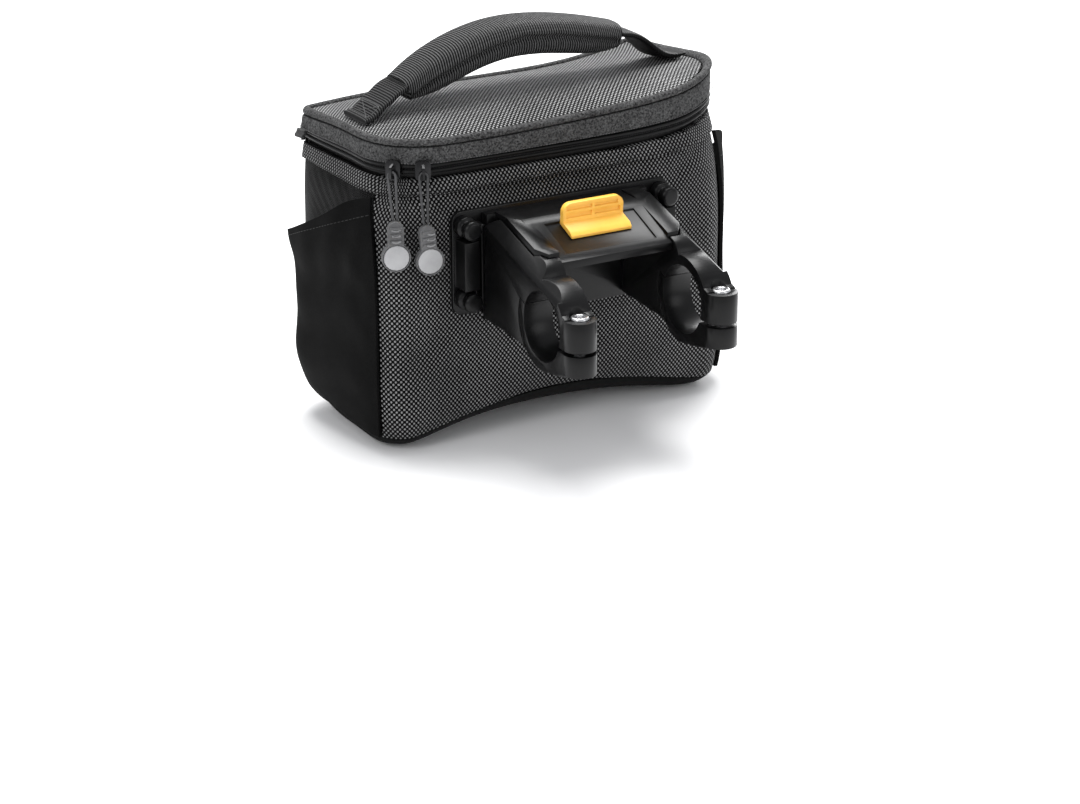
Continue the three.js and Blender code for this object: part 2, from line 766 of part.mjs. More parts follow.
function tabOutline() {
  const shape = new THREE.Shape();
  const discZ = -tabLength + tabDisc;
  const waist = Math.asin(tabNeck / tabDisc);
  shape.moveTo(-tabNeck, -tabNeck);
  shape.lineTo(-tabNeck, discZ + tabDisc * Math.cos(waist));
  shape.absarc(0, discZ, tabDisc, Math.PI / 2 + waist, Math.PI / 2 - waist + 2 * Math.PI);
  shape.lineTo(tabNeck, -tabNeck);
  shape.absarc(0, -tabNeck, tabNeck, 0, Math.PI);
  return shape;
}

function discCylinder(radius, thick) {
  return new THREE.CylinderGeometry(radius, radius, thick, 20);
}

const discZ = -tabLength + tabDisc;

// Stands a piece drawn with its top at the origin, facing the rider, where a pull's tab hangs.
function hang(geometry, pull) {
  const top = tabTopOf(pull);
  return geometry.rotateY(-pull.lean * degrees).rotateZ(pull.tabTurn * degrees + Math.PI / 2)
    .translate(top.x, top.y, top.z);
}

function tab(pull) {
  const back = tabThick / 2;
  const body = towardsRider(tabOutline(), tabThick, 8).translate(0, back, 0);
  const seat = discCylinder(discRadius + seatGap, 2 * discThick).translate(0, -back, discZ);
  let shape = solid(body).subtract(solid(seat));
  for (const drop of [3, 6, 9]) {
    const rib = block(-tabNeck + 1, tabNeck - 1, -back - 0.6, 0, -drop - 0.6, -drop + 0.6);
    shape = shape.add(solid(rib));
  }
  return hang(geometryOf(shape), pull);
}

function tabDiscPiece(pull) {
  const face = -tabThick / 2 + discThick / 2 - 0.1;
  return hang(discCylinder(discRadius, discThick).translate(0, face, discZ), pull);
}

// Plate on the back panel
const plateBack = bodyBack - seatGap;
const plateFace = plateBack - plateThick;
const railFace = plateFace - railDepth;
const studLow = plateBottom + studInset + 2;
const railBottom = studLow + studRadius + 0.6;
const railTop = plateTop - studInset - studRadius - 0.6;
const ribCentre = coreHalf + 0.6 + ribWidth / 2;

function backPlate() {
  const outline = roundedRectangle(-plateHalf, plateHalf, plateBottom, plateTop, 5);
  let shape = solid(towardsRider(outline, plateThick, 4).translate(0, plateBack, 0));
  for (const side of [-1, 1]) {
    const rail = side * railCentre;
    const rib = side * ribCentre;
    shape = shape.add(solid(block(rail - railWidth / 2, rail + railWidth / 2, railFace, plateBack - 0.5,
      railBottom, railTop)));
    shape = shape.add(solid(block(rib - ribWidth / 2, rib + ribWidth / 2, plateFace - ribDepth, plateBack - 0.5,
      plateBottom + 4, plateTop - 6)));
  }
  return geometryOf(shape);
}

function stud() {
  const profile = [
    [0, 0],
    [studRadius, 0],
    [studRadius, 4.2],
    [studRadius - 1.6, 4.8],
    [studRadius - 1.6, 7.2],
    [studRadius - 0.4, 7.8],
    [studRadius - 0.4, studLength - 1],
    [studRadius - 1.6, studLength],
    [0, studLength],
  ].map(([r, h]) => new THREE.Vector2(r, h));
  return new THREE.LatheGeometry(profile, 12).rotateX(Math.PI);
}

// Bracket
const coreBack = plateFace - seatGap;
const coreFace = coreBack - coreThick;
const slope = Math.tan(deckSlope * degrees);
const deckZ = (y) => coreTop + Math.min(0, y - deckFar) * slope;
const armEnd = coreFace - seatGap;

// Height of the arms' and cheeks' top line.
const lineFar = armEnd - 10;
const lineSlope = (armTop - humpZ) / (lineFar - humpY);
const lineZ = (y) => humpZ + (y - humpY) * lineSlope;

// The room of a raised cheek beside the deck, between two heights off the top line.
function cheekRoom(low, high, grow) {
  const near = humpY - 1 - grow;
  const far = coreFace + 1;
  const side = alongX(polygon([
    [far, armTop + high], [lineFar, armTop + high], [near, lineZ(near) + high],
    [near, lineZ(near) + low], [lineFar, armTop + low], [far, armTop + low],
  ]), deckHalf - 8, armOuter + 2);
  const plan = polygon([
    [deckHalf - 7, far], [armFlat + grow, far], [armFlat + grow, humpY + 4.5], [cheekNear + grow, near],
    [deckHalf - 7, near],
  ]);
  return solid(side).intersect(solid(upwards(plan, bossBottom, armTop + 60)));
}

function bracketCore() {
  const wall = block(-coreHalf, coreHalf, coreFace, coreBack, coreBottom, coreTop);
  const dropZ = deckThick / Math.cos(deckSlope * degrees);
  const far = coreFace + 1;
  const slab = alongX(polygon([
    [far, coreTop - deckThick], [far, coreTop], [deckFar, coreTop],
    [deckReach, deckZ(deckReach)], [deckReach, deckZ(deckReach) - dropZ], [deckFar, coreTop - dropZ],
  ]), -deckWide, deckWide);
  const halfPlan = [[deckWide, far], [deckWide - 1, deckFar], [deckHalf + 1, humpY + 4], [deckHalf, humpY],
    [deckHalf, deckReach - 1]];
  const plan = [...halfPlan, ...halfPlan.map(([x, y]) => [-x, y]).reverse()];
  const deck = solid(slab).intersect(solid(upwards(polygon(plan), bossBottom, armTop + 10)));
  const beside = solid(upwards(polygon([
    [deckWide - 4, far + 1], [deckWide + 20, far + 1], [deckWide + 20, humpY - 2], [deckHalf - 0.6, humpY - 2],
    [deckHalf - 0.2, humpY + 4],
  ]), bossBottom, armTop + 10));
  const cheek = cheekRoom(-6, 0, 0).intersect(beside);
  const webEnd = deckReach + 4;
  const web = alongX(polygon([
    [far, coreTop - 24], [far, coreTop - 2], [deckFar, coreTop - 2],
    [webEnd, deckZ(webEnd) - 2], [webEnd, deckZ(webEnd) - 5],
  ]), -1.2, 1.2);
  const recess = alongX(polygon([
    [recessFar, deckZ(recessFar) + 4], [recessNear, deckZ(recessNear) + 4],
    [recessNear, deckZ(recessNear) - recessDepth], [recessFar, deckZ(recessFar) - recessDepth],
  ]), -recessHalf, recessHalf);
  let shape = solid(wall).add(deck).add(cheek).add(cheek.mirror([1, 0, 0]));
  for (const x of [-20, 20]) shape = shape.add(solid(web.clone().translate(x, 0, 0)));
  return geometryOf(shape.subtract(solid(recess)));
}

// Side view of an arm with its ring and boss, before it is split from its cap.
function armView() {
  const shape = new THREE.Shape();
  const ringTop = 80 * degrees;
  const ringStart = [barY + ringRadius * Math.cos(ringTop), barZ + ringRadius * Math.sin(ringTop)];
  shape.moveTo(armEnd, coreBottom + 2);
  shape.lineTo(armEnd, armTop - 9);
  shape.quadraticCurveTo(armEnd, armTop - cheekStep, lineFar, armTop - cheekStep);
  shape.lineTo(humpY - 2, lineZ(humpY - 2) - cheekStep);
  shape.quadraticCurveTo(humpY - 7, humpZ - 3.5, ...ringStart);
  shape.absarc(barY, barZ, ringRadius, ringTop, 150 * degrees);
  shape.lineTo(bossY - bossRadius, bossTop - 2);
  shape.lineTo(bossY - bossRadius, bossBottom + 4);
  shape.lineTo(bossY - bossRadius + 4, bossBottom);
  shape.lineTo(barY - 8, barZ - ringRadius + 1);
  shape.absarc(barY, barZ, ringRadius, -112 * degrees, -42 * degrees);
  shape.closePath();
  return shape;
}

// What the outer slope takes off an arm: a wedge that runs down with the arm's top line.
function slopeCut() {
  const far = armEnd + 2;
  const near = barY - 14;
  const wedge = new THREE.Shape();
  wedge.moveTo(armFlat - 3, 2);
  wedge.lineTo(armFlat - 3, 0.2);
  wedge.lineTo(armOuter + 2, -10);
  wedge.lineTo(armOuter + 2, 2);
  return movePoints(towardsRider(wedge, far - near).translate(0, far, 0), (point) => {
    point.z += lineZ(point.y);
  });
}

function splitLine(offset) {
  return [
    [bossY - 20, splitHeight + offset],
    [bossY + bossRadius + 1, splitHeight + offset],
    [barY, barZ + Math.min(Math.abs(offset), seatGap / 2) * Math.sign(offset)],
    [barY + ringRadius + 4, barZ + (ringRadius + 4) * 0.415 + seatGap / 2 * Math.sign(offset)],
  ];
}

function armPieces(side) {
  const from = armInner;
  const to = armOuter;
  const middle = (from + to) / 2;
  const whole = solid(alongX(armView(), from, to, 10));
  const ring = new THREE.Shape();
  ring.absarc(barY, barZ, ringRadius, 0, 2 * Math.PI);
  const ringSolid = solid(alongX(ring, from, to, 18));
  const bore = new THREE.Shape();
  bore.absarc(barY, barZ, barRadius + barFit, 0, 2 * Math.PI);
  const boreCut = solid(alongX(bore, from - 5, to + 5, 18));
  const upright = (radius, low, high, segments = 20) => solid(
    new THREE.CylinderGeometry(radius, radius, high - low, segments)
      .rotateX(Math.PI / 2).translate(middle, bossY, (low + high) / 2));
  const boss = upright(bossRadius, bossBottom, bossTop);
  // The boss keeps its round barrel: the arm's square corners behind its middle are cut away.
  const square = solid(block(from - 1, to + 1, bossY - bossRadius - 1, bossY, bossBottom - 1, bossTop + 10));
  const body = whole.add(ringSolid).subtract(square).add(boss);
  const above = splitLine(splitGap / 2);
  const below = splitLine(-splitGap / 2);
  const farY = barY + ringRadius + 4;
  const through = (outline) => solid(alongX(polygon(outline), from - 5, to + 5));
  const lowerCut = through([...above, [farY, bossBottom - 10], [bossY - 20, bossBottom - 10]]);
  const upperCut = through([...below, [farY, bossTop + 30], [bossY - 20, bossTop + 30]].reverse());
  const ringClear = new THREE.Shape();
  ringClear.absarc(barY, barZ, ringRadius + seatGap, 0, 2 * Math.PI);
  const ringCut = solid(alongX(ringClear, from - 5, to + 5, 18));
  const rearCut = solid(block(from - 5, to + 5, bossY - 20, barY, bossBottom - 10, splitHeight + splitGap / 2));
  const capZone = lowerCut.intersect(ringCut.add(rearCut));
  const shank = upright(boltRadius + boltFit, bossBottom - 5, bossTop + 5, 16);
  const headRoom = upright(boltHead + boltFit, bossTop - counterbore, bossTop + 8, 16);
  const nutFloor = upright(bossRadius + 2, bossBottom - 8, bossBottom + 2.4, 16);
  const holes = boreCut.add(shank).add(headRoom);
  const beside = cheekRoom(-6.6, 20, 0.7);
  const arm = body.subtract(solid(slopeCut())).subtract(beside).subtract(capZone).subtract(holes);
  const capBody = body.intersect(ringSolid.add(boss).add(rearCut));
  const cap = capBody.subtract(upperCut).subtract(boreCut).subtract(shank.subtract(nutFloor));
  const turned = (geometry) => (side < 0 ? mirrored(geometry) : geometry);
  return { arm: turned(geometryOf(arm)), cap: turned(geometryOf(cap)) };
}

// Mirrors a geometry in the plane x = 0 and keeps its faces pointing out.
function mirrored(geometry) {
  const copy = geometry.clone().applyMatrix4(new THREE.Matrix4().makeScale(-1, 1, 1));
  const index = copy.index.array;
  for (let i = 0; i < index.length; i += 3) {
    [index[i], index[i + 1]] = [index[i + 1], index[i]];
  }
  return copy;
}

function bolt(side) {
  const floor = bossTop - counterbore + boltFit;
  const end = bossBottom + 2.4 + boltFit;
  const profile = [
    [0, end],
    [boltRadius, end],
    [boltRadius, floor],
    [boltHead, floor],
    [boltHead, floor + boltHeadHeight - 0.6],
    [boltHead - 0.6, floor + boltHeadHeight],
    [0, floor + boltHeadHeight],
  ].map(([r, h]) => new THREE.Vector2(r, h));
  const body = solid(new THREE.LatheGeometry(profile, 16).rotateX(Math.PI / 2));
  const socket = solid(new THREE.CylinderGeometry(2.3, 2.3, 5, 6).rotateX(Math.PI / 2)
    .translate(0, 0, floor + boltHeadHeight));
  const geometry = geometryOf(body.subtract(socket));
  return geometry.translate(side * (armInner + armOuter) / 2, bossY, 0);
}

// Button: a tongue that lies in the deck's recess and an upright tab with a cross of ribs.
const buttonFar = recessFar - 0.9;

function releaseButton() {
  const lift = seatGap / Math.cos(deckSlope * degrees);
  const base = (y) => deckZ(y) - recessDepth + lift;
  const near = buttonFar - tongueLength;
  const rise = tongueThick / Math.cos(deckSlope * degrees);
  const tongue = solid(alongX(polygon([
    [buttonFar, base(buttonFar)],
    [buttonFar, base(buttonFar) + rise],
    [near + 1.5, base(near + 1.5) + rise],
    [near, base(near) + rise * 0.5],
    [near, base(near)],
  ]), -buttonHalf, buttonHalf));
  const outline = new THREE.Shape();
  outline.moveTo(-buttonHalf, 0);
  outline.lineTo(buttonHalf, 0);
  outline.lineTo(buttonHalf, tabUpright - tabCorner);
  outline.absarc(buttonHalf - tabCorner, tabUpright - tabCorner, tabCorner, 0, Math.PI / 2);
  outline.lineTo(-buttonHalf + tabCorner, tabUpright);
  outline.absarc(-buttonHalf + tabCorner, tabUpright - tabCorner, tabCorner, Math.PI / 2, Math.PI);
  outline.closePath();
  const panel = solid(towardsRider(outline, tabPlate, 6));
  const window = (x0, x1, z0, z1) => solid(block(x0, x1, -tabPlate - 1, -tabPlate + ribStand, z0, z1));
  const edge = 1.7;
  const mid = 0.7;
  const half = tabUpright / 2 + 0.4;
  let tabShape = panel;
  for (const side of [-1, 1]) {
    const x = [side * mid, side * (buttonHalf - edge)].sort((a, b) => a - b);
    tabShape = tabShape.subtract(window(x[0], x[1] - (side > 0 ? 1.2 : 0), half + mid, tabUpright - edge));
    tabShape = tabShape.subtract(window(x[0], x[1], edge + 0.4, half - mid));
  }
  const upright = geometryOf(tabShape).rotateX(tabLean * degrees)
    .translate(0, buttonFar, base(buttonFar) + rise * 0.4);
  return geometryOf(tongue.add(solid(upright)));
}

// Finishes
const finishes = {
  weave: { color: 0x1b1b1d, roughness: 0.82, metalness: 0 },
  plainCloth: { color: 0x131315, roughness: 0.88, metalness: 0 },
  bandCloth: { color: 0x232326, roughness: 0.85, metalness: 0 },
  stretchCloth: { color: 0x101012, roughness: 0.95, metalness: 0 },
  webbing: { color: 0x27272a, roughness: 0.8, metalness: 0 },
  zip: { color: 0x0d0d0e, roughness: 0.6, metalness: 0 },
  zipMetal: { color: 0x2a2a2c, roughness: 0.35, metalness: 0.8 },
  pullRubber: { color: 0x55565a, roughness: 0.7, metalness: 0 },
  pullDisc: { color: 0xb4b5b7, roughness: 0.5, metalness: 0 },
  plastic: { color: 0x17181a, roughness: 0.5, metalness: 0 },
  buttonPlastic: { color: 0xf2a91c, roughness: 0.45, metalness: 0 },
  steel: { color: 0xb9babd, roughness: 0.3, metalness: 0.9 },
};
const materials = Object.fromEntries(
  Object.entries(finishes).map(([name, values]) => [name, new THREE.MeshStandardMaterial(values)]));

const bag = new THREE.Group();
const bracket = new THREE.Group();
const whole = new THREE.Group();
whole.add(bag, bracket);

function add(parent, name, geometry, finish) {
  geometry.computeVertexNormals();
  const mesh = new THREE.Mesh(geometry, materials[finish]);
  mesh.name = name;
  parent.add(mesh);
  return mesh;
}

// Bag: cloth
add(bag, 'bottom_panel', bottomPanel(), 'plainCloth');
add(bag, 'front_panel', wallPanel(rightFrontSeam, outlineCount + leftFrontSeam), 'weave');
add(bag, 'back_panel', wallPanel(leftBackSeam, rightBackSeam), 'weave');
add(bag, 'side_panel_left', wallPanel(leftFrontSeam, leftBackSeam), 'plainCloth');
add(bag, 'side_panel_right', wallPanel(rightBackSeam, rightFrontSeam), 'plainCloth');
add(bag, 'body_hem', hem(), 'weave');
const tapeBottom = bodyTop + seatGap;
add(bag, 'zip_tape', band(tapeBottom, chainTop, zipInset, zipInset + tapeThick, zipFrom, zipTo), 'zip');
add(bag, 'lid_hinge', band(tapeBottom, chainTop, bandInset, zipInset + tapeThick,
  zipTo, zipFrom + outlineCount), 'plainCloth');
const chainBottom = chainTop - chainWidth;
add(bag, 'zip_chain', band(chainBottom, chainTop, chainInset, zipInset - seatGap, zipFrom, zipTo), 'zip');
add(bag, 'lid_band', band(bandBottom, bandTop, bandInset, bandInset + bandThick), 'bandCloth');
add(bag, 'lid_piping', pipingRing(), 'bandCloth');
add(bag, 'lid_top', lidTop(), 'weave');
add(bag, 'side_pocket_left', pocket(leftFrontSeam, leftBackSeam, leftPocketAlong), 'stretchCloth');
add(bag, 'side_pocket_right', pocket(rightBackSeam, rightFrontSeam, rightPocketAlong), 'stretchCloth');

// Bag: handle and zip pulls
add(bag, 'handle_grip', strap(gripRows()), 'webbing');
add(bag, 'handle_strap_left', leftStrap(), 'webbing');
add(bag, 'handle_strap_right', rightStrap(), 'webbing');
for (const pull of pulls) {
  add(bag, `zip_slider_${pull.side}`, slider(pull), 'zipMetal');
  add(bag, `pull_loop_${pull.side}`, pullLoop(pull), 'webbing');
  add(bag, `pull_tab_${pull.side}`, tab(pull), 'pullRubber');
  add(bag, `tab_disc_${pull.side}`, tabDiscPiece(pull), 'pullDisc');
}

// Bag: plate
add(bag, 'back_plate', backPlate(), 'plastic');
for (const [side, sign] of [['left', -1], ['right', 1]]) {
  for (const [end, z] of [['top', plateTop - studInset], ['bottom', studLow]]) {
    const mesh = add(bag, `plate_stud_${side}_${end}`, stud(), 'plastic');
    mesh.position.set(sign * railCentre, plateFace - seatGap, z);
  }
}

// Bracket
add(bracket, 'bracket_core', bracketCore(), 'plastic');
for (const [side, sign] of [['left', -1], ['right', 1]]) {
  const pieces = armPieces(sign);
  add(bracket, `clamp_arm_${side}`, pieces.arm, 'plastic');
  add(bracket, `clamp_cap_${side}`, pieces.cap, 'plastic');
  add(bracket, `clamp_bolt_${side}`, bolt(sign), 'steel');
}
add(bracket, 'release_button', releaseButton(), 'buttonPlastic');

export default whole;
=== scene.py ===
# A handlebar bag with its quick-release bracket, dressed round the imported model.
import json
import math

import bpy
import numpy as np
from mathutils import Matrix, Vector, kdtree
from mathutils.bvhtree import BVHTree

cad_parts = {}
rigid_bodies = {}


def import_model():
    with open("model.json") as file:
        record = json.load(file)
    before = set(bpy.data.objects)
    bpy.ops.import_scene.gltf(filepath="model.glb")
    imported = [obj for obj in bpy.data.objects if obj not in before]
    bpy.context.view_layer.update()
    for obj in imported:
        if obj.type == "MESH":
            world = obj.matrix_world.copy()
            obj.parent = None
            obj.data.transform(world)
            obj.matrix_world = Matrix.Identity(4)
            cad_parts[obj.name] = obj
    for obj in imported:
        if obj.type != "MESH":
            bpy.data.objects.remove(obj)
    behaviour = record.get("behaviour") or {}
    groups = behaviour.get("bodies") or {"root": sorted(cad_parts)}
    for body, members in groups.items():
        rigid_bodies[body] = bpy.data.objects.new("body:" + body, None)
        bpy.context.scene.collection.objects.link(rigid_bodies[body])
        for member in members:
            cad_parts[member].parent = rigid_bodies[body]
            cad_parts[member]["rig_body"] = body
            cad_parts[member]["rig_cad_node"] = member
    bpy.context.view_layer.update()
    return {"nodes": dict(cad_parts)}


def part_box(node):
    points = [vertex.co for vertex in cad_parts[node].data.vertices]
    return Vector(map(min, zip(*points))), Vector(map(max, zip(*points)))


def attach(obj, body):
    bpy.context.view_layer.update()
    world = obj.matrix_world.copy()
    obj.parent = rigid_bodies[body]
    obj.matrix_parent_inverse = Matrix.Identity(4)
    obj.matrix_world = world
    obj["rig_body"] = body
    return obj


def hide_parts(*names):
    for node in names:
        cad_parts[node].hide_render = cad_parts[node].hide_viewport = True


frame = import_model()
nodes = frame["nodes"]
mm = 0.001


def activate(piece):
    bpy.ops.object.select_all(action="DESELECT")
    piece.select_set(True)
    bpy.context.view_layer.objects.active = piece


def smoothStep(value):
    t = np.clip(value, 0, 1)
    return t * t * (3 - 2 * t)


def rise(value, start, length):
    # Grows from 0 at the start to 1 a length further on.
    return smoothStep((value - start) / length)


def fall(value, end, length):
    # Sinks to 0 at the end, from 1 a length before it.
    return smoothStep((end - value) / length)


# Camera and light

cameraSettings = {
    "place": (-608.85, -1109.0, 490.78),
    "yaw": 29.44,
    "pitch": 21.42,
    "roll": -0.29,
    "lens": 92.85,
    "sensor": 36,
    "clipStart": 0.05,
}


def addCamera():
    yaw, pitch, roll = (math.radians(cameraSettings[k]) for k in ("yaw", "pitch", "roll"))
    right = Vector((math.cos(yaw), -math.sin(yaw), 0))
    ahead = Vector((math.sin(yaw) * math.cos(pitch), math.cos(yaw) * math.cos(pitch), -math.sin(pitch)))
    up = right.cross(ahead)
    rolledRight = right * math.cos(roll) + up * math.sin(roll)
    rolledUp = up * math.cos(roll) - right * math.sin(roll)
    bpy.ops.object.camera_add()
    camera = bpy.context.object
    turn = Matrix((rolledRight, rolledUp, -ahead)).transposed().to_4x4()
    camera.matrix_world = Matrix.Translation(Vector(cameraSettings["place"]) * mm) @ turn
    camera.data.lens = cameraSettings["lens"]
    camera.data.sensor_width = cameraSettings["sensor"]
    camera.data.clip_start = cameraSettings["clipStart"]
    bpy.context.scene.camera = camera


studio = {
    "worldColor": (0.96, 0.97, 1.0, 1),
    "worldStrength": 0.72,
    "floorColor": (0.9, 0.9, 0.9, 1),
    "floorRoughness": 0.9,
    "floorSize": 8,
    "lights": [
        # name, place, aimed at, size, watts
        ("overhead", (0.1, 0.3, 1.2), (0, 0, 0.1), 0.8, 25),
        ("rightRear", (1.1, 0.8, 0.7), (0, 0, 0.12), 0.6, 9),
        ("leftFront", (-1.3, -0.7, 1.0), (0, 0, 0.1), 0.7, 7),
        ("nearFill", (0.6, -1.5, 0.7), (0, 0, 0.1), 0.8, 4),
    ],
}


def addStudio():
    bpy.context.scene.view_settings.view_transform = "Standard"
    world = bpy.context.scene.world or bpy.data.worlds.new("studioWorld")
    bpy.context.scene.world = world
    world.use_nodes = True
    background = world.node_tree.nodes["Background"]
    background.inputs["Color"].default_value = studio["worldColor"]
    background.inputs["Strength"].default_value = studio["worldStrength"]
    for name, place, aim, size, watts in studio["lights"]:
        bpy.ops.object.light_add(type="AREA", location=place)
        light = bpy.context.object
        light.name = name
        light.data.size = size
        light.data.energy = watts
        light.rotation_euler = (Vector(aim) - Vector(place)).to_track_quat("-Z", "Y").to_euler()
    bpy.ops.mesh.primitive_plane_add(size=studio["floorSize"], location=(0, 0, 0))
    floor = bpy.context.object
    floor.name = "floor"
    finish = bpy.data.materials.new("floorPaint")
    finish.use_nodes = True
    shader = finish.node_tree.nodes["Principled BSDF"]
    shader.inputs["Base Color"].default_value = studio["floorColor"]
    shader.inputs["Roughness"].default_value = studio["floorRoughness"]
    floor.data.materials.append(finish)


addCamera()
addStudio()
print("camera and studio are set")


# Node groups shared by several materials

noiseScales = {"patch": 38.0, "clump": 130.0, "polish": 60.0, "wovenFibres": 1500.0, "webbingFibres": 1200.0}
knotPitch = 0.0011        # of the yarns across a strap


def newGroup(name, inputs, outputs):
    group = bpy.data.node_groups.new(name, "ShaderNodeTree")
    for label, kind, value in inputs:
        socket = group.interface.new_socket(label, in_out="INPUT", socket_type=kind)
        if value is not None:
            socket.default_value = value
    for label, kind in outputs:
        group.interface.new_socket(label, in_out="OUTPUT", socket_type=kind)
    return group, group.nodes.new("NodeGroupInput"), group.nodes.new("NodeGroupOutput")


def calc(tree, operation, first, second=None):
    node = tree.nodes.new("ShaderNodeMath")
    node.operation = operation
    for socket, value in zip(node.inputs, (first, second)):
        if value is None:
            continue
        if isinstance(value, (int, float)):
            socket.default_value = value
        else:
            tree.links.new(value, socket)
    return node.outputs[0]


def multiplyColor(tree, first, second):
    node = tree.nodes.new("ShaderNodeMix")
    node.data_type = "RGBA"
    node.blend_type = "MULTIPLY"
    # Sockets 0, 6 and 7 are the factor and the two colours.
    node.inputs[0].default_value = 1.0
    tree.links.new(first, node.inputs[6])
    tree.links.new(second, node.inputs[7])
    return node.outputs[2]


def addNoise(tree, vector, scale, detail=2.0, roughness=0.5):
    node = tree.nodes.new("ShaderNodeTexNoise")
    node.inputs["Scale"].default_value = scale
    node.inputs["Detail"].default_value = detail
    node.inputs["Roughness"].default_value = roughness
    tree.links.new(vector, node.inputs["Vector"])
    return node.outputs["Fac"]


def weaveGroup():
    # Plain weave: yarns pass over and under in a chequer, each a little rounded. Float marks the tops of the
    # over-yarns, where the woven materials paint a highlight; Patch is random noise that fades that painted
    # highlight in places.
    group, start, end = newGroup(
        "yarnWeave",
        [("Vector", "NodeSocketVector", None), ("Across", "NodeSocketFloat", 0.0007),
         ("Along", "NodeSocketFloat", 0.00082)],
        [("Height", "NodeSocketFloat"), ("Float", "NodeSocketFloat"), ("Patch", "NodeSocketFloat")])
    split = group.nodes.new("ShaderNodeSeparateXYZ")
    group.links.new(start.outputs["Vector"], split.inputs[0])
    across = calc(group, "DIVIDE", split.outputs[0], start.outputs["Across"])
    along = calc(group, "DIVIDE", split.outputs[1], start.outputs["Along"])
    step = calc(group, "ADD", calc(group, "FLOOR", across), calc(group, "FLOOR", along))
    over = calc(group, "FLOORED_MODULO", step, 2.0)
    roundAcross = calc(group, "SINE", calc(group, "MULTIPLY", calc(group, "FRACT", across), math.pi))
    roundAlong = calc(group, "SINE", calc(group, "MULTIPLY", calc(group, "FRACT", along), math.pi))
    warpFall = calc(group, "ADD", calc(group, "MULTIPLY", roundAlong, 0.6), 0.4)
    weftFall = calc(group, "ADD", calc(group, "MULTIPLY", roundAcross, 0.6), 0.4)
    warp = calc(group, "MULTIPLY", roundAcross, warpFall)
    weft = calc(group, "MULTIPLY", roundAlong, weftFall)
    under = calc(group, "SUBTRACT", 1.0, over)
    height = calc(group, "ADD", calc(group, "MULTIPLY", warp, over), calc(group, "MULTIPLY", weft, under))
    spot = calc(group, "POWER", calc(group, "MULTIPLY", roundAcross, roundAlong), 0.6)
    # the over-yarns' tops, which the woven materials colour light as a painted highlight
    floatHighlightMask = calc(group, "MULTIPLY", over, spot)
    group.links.new(height, end.inputs["Height"])
    group.links.new(floatHighlightMask, end.inputs["Float"])
    patch = addNoise(group, start.outputs["Vector"], noiseScales["patch"])
    group.links.new(patch, end.inputs["Patch"])
    return group


def ribGroup():
    # Webbing: raised ribs across the strap, with the yarns' own small steps. RidgeShade is the rib profile
    # that the webbing paints as light on the crests and shade in the grooves.
    group, start, end = newGroup(
        "webbingRibs",
        [("Vector", "NodeSocketVector", None), ("Pitch", "NodeSocketFloat", 0.0013)],
        [("Height", "NodeSocketFloat"), ("RidgeShade", "NodeSocketFloat")])
    split = group.nodes.new("ShaderNodeSeparateXYZ")
    group.links.new(start.outputs["Vector"], split.inputs[0])
    run = calc(group, "DIVIDE", split.outputs[1], start.outputs["Pitch"])
    wave = calc(group, "SINE", calc(group, "MULTIPLY", run, 2 * math.pi))
    ridge = calc(group, "ADD", calc(group, "MULTIPLY", wave, 0.5), 0.5)
    side = calc(group, "MULTIPLY", split.outputs[0], 2 * math.pi / knotPitch)
    knots = calc(group, "SINE", side)
    height = calc(group, "ADD", ridge, calc(group, "MULTIPLY", calc(group, "MULTIPLY", knots, ridge), 0.16))
    group.links.new(height, end.inputs["Height"])
    group.links.new(ridge, end.inputs["RidgeShade"])
    return group


def fleckGroup():
    # Heathered cloth: fine light and dark fibres in soft clumps.
    group, start, end = newGroup(
        "clothFlecks",
        [("Vector", "NodeSocketVector", None), ("Scale", "NodeSocketFloat", 1400.0)],
        [("Fleck", "NodeSocketFloat"), ("Clump", "NodeSocketFloat")])
    fine = group.nodes.new("ShaderNodeTexNoise")
    fine.inputs["Detail"].default_value = 3.0
    fine.inputs["Roughness"].default_value = 0.7
    group.links.new(start.outputs["Vector"], fine.inputs["Vector"])
    group.links.new(start.outputs["Scale"], fine.inputs["Scale"])
    group.links.new(fine.outputs["Fac"], end.inputs["Fleck"])
    clump = addNoise(group, start.outputs["Vector"], noiseScales["clump"], 3.0)
    group.links.new(clump, end.inputs["Clump"])
    return group


def mouldGroup():
    # Moulded plastic: spark-eroded grain, a little uneven polish.
    group, start, end = newGroup(
        "mouldGrain",
        [("Vector", "NodeSocketVector", None), ("Scale", "NodeSocketFloat", 2600.0)],
        [("Grain", "NodeSocketFloat"), ("Polish", "NodeSocketFloat")])
    fine = group.nodes.new("ShaderNodeTexNoise")
    fine.inputs["Detail"].default_value = 2.0
    group.links.new(start.outputs["Vector"], fine.inputs["Vector"])
    group.links.new(start.outputs["Scale"], fine.inputs["Scale"])
    group.links.new(fine.outputs["Fac"], end.inputs["Grain"])
    polish = addNoise(group, start.outputs["Vector"], noiseScales["polish"], 4.0, 0.6)
    group.links.new(polish, end.inputs["Polish"])
    return group


weaveNodes = weaveGroup()
ribNodes = ribGroup()
fleckNodes = fleckGroup()
mouldNodes = mouldGroup()


def startMaterial(name, roughness, metallic=0.0, coords="Object"):
    material = bpy.data.materials.new(name)
    material.use_nodes = True
    tree = material.node_tree
    shader = tree.nodes["Principled BSDF"]
    shader.inputs["Roughness"].default_value = roughness
    shader.inputs["Metallic"].default_value = metallic
    if coords == "cloth":
        source = tree.nodes.new("ShaderNodeUVMap")
        source.uv_map = "cloth"
        vector = source.outputs["UV"]
    else:
        vector = tree.nodes.new("ShaderNodeTexCoord").outputs["Object"]
    return material, tree, shader, vector


def placeGroup(tree, group, vector, **values):
    node = tree.nodes.new("ShaderNodeGroup")
    node.node_tree = group
    tree.links.new(vector, node.inputs["Vector"])
    for label, value in values.items():
        node.inputs[label].default_value = value
    return node


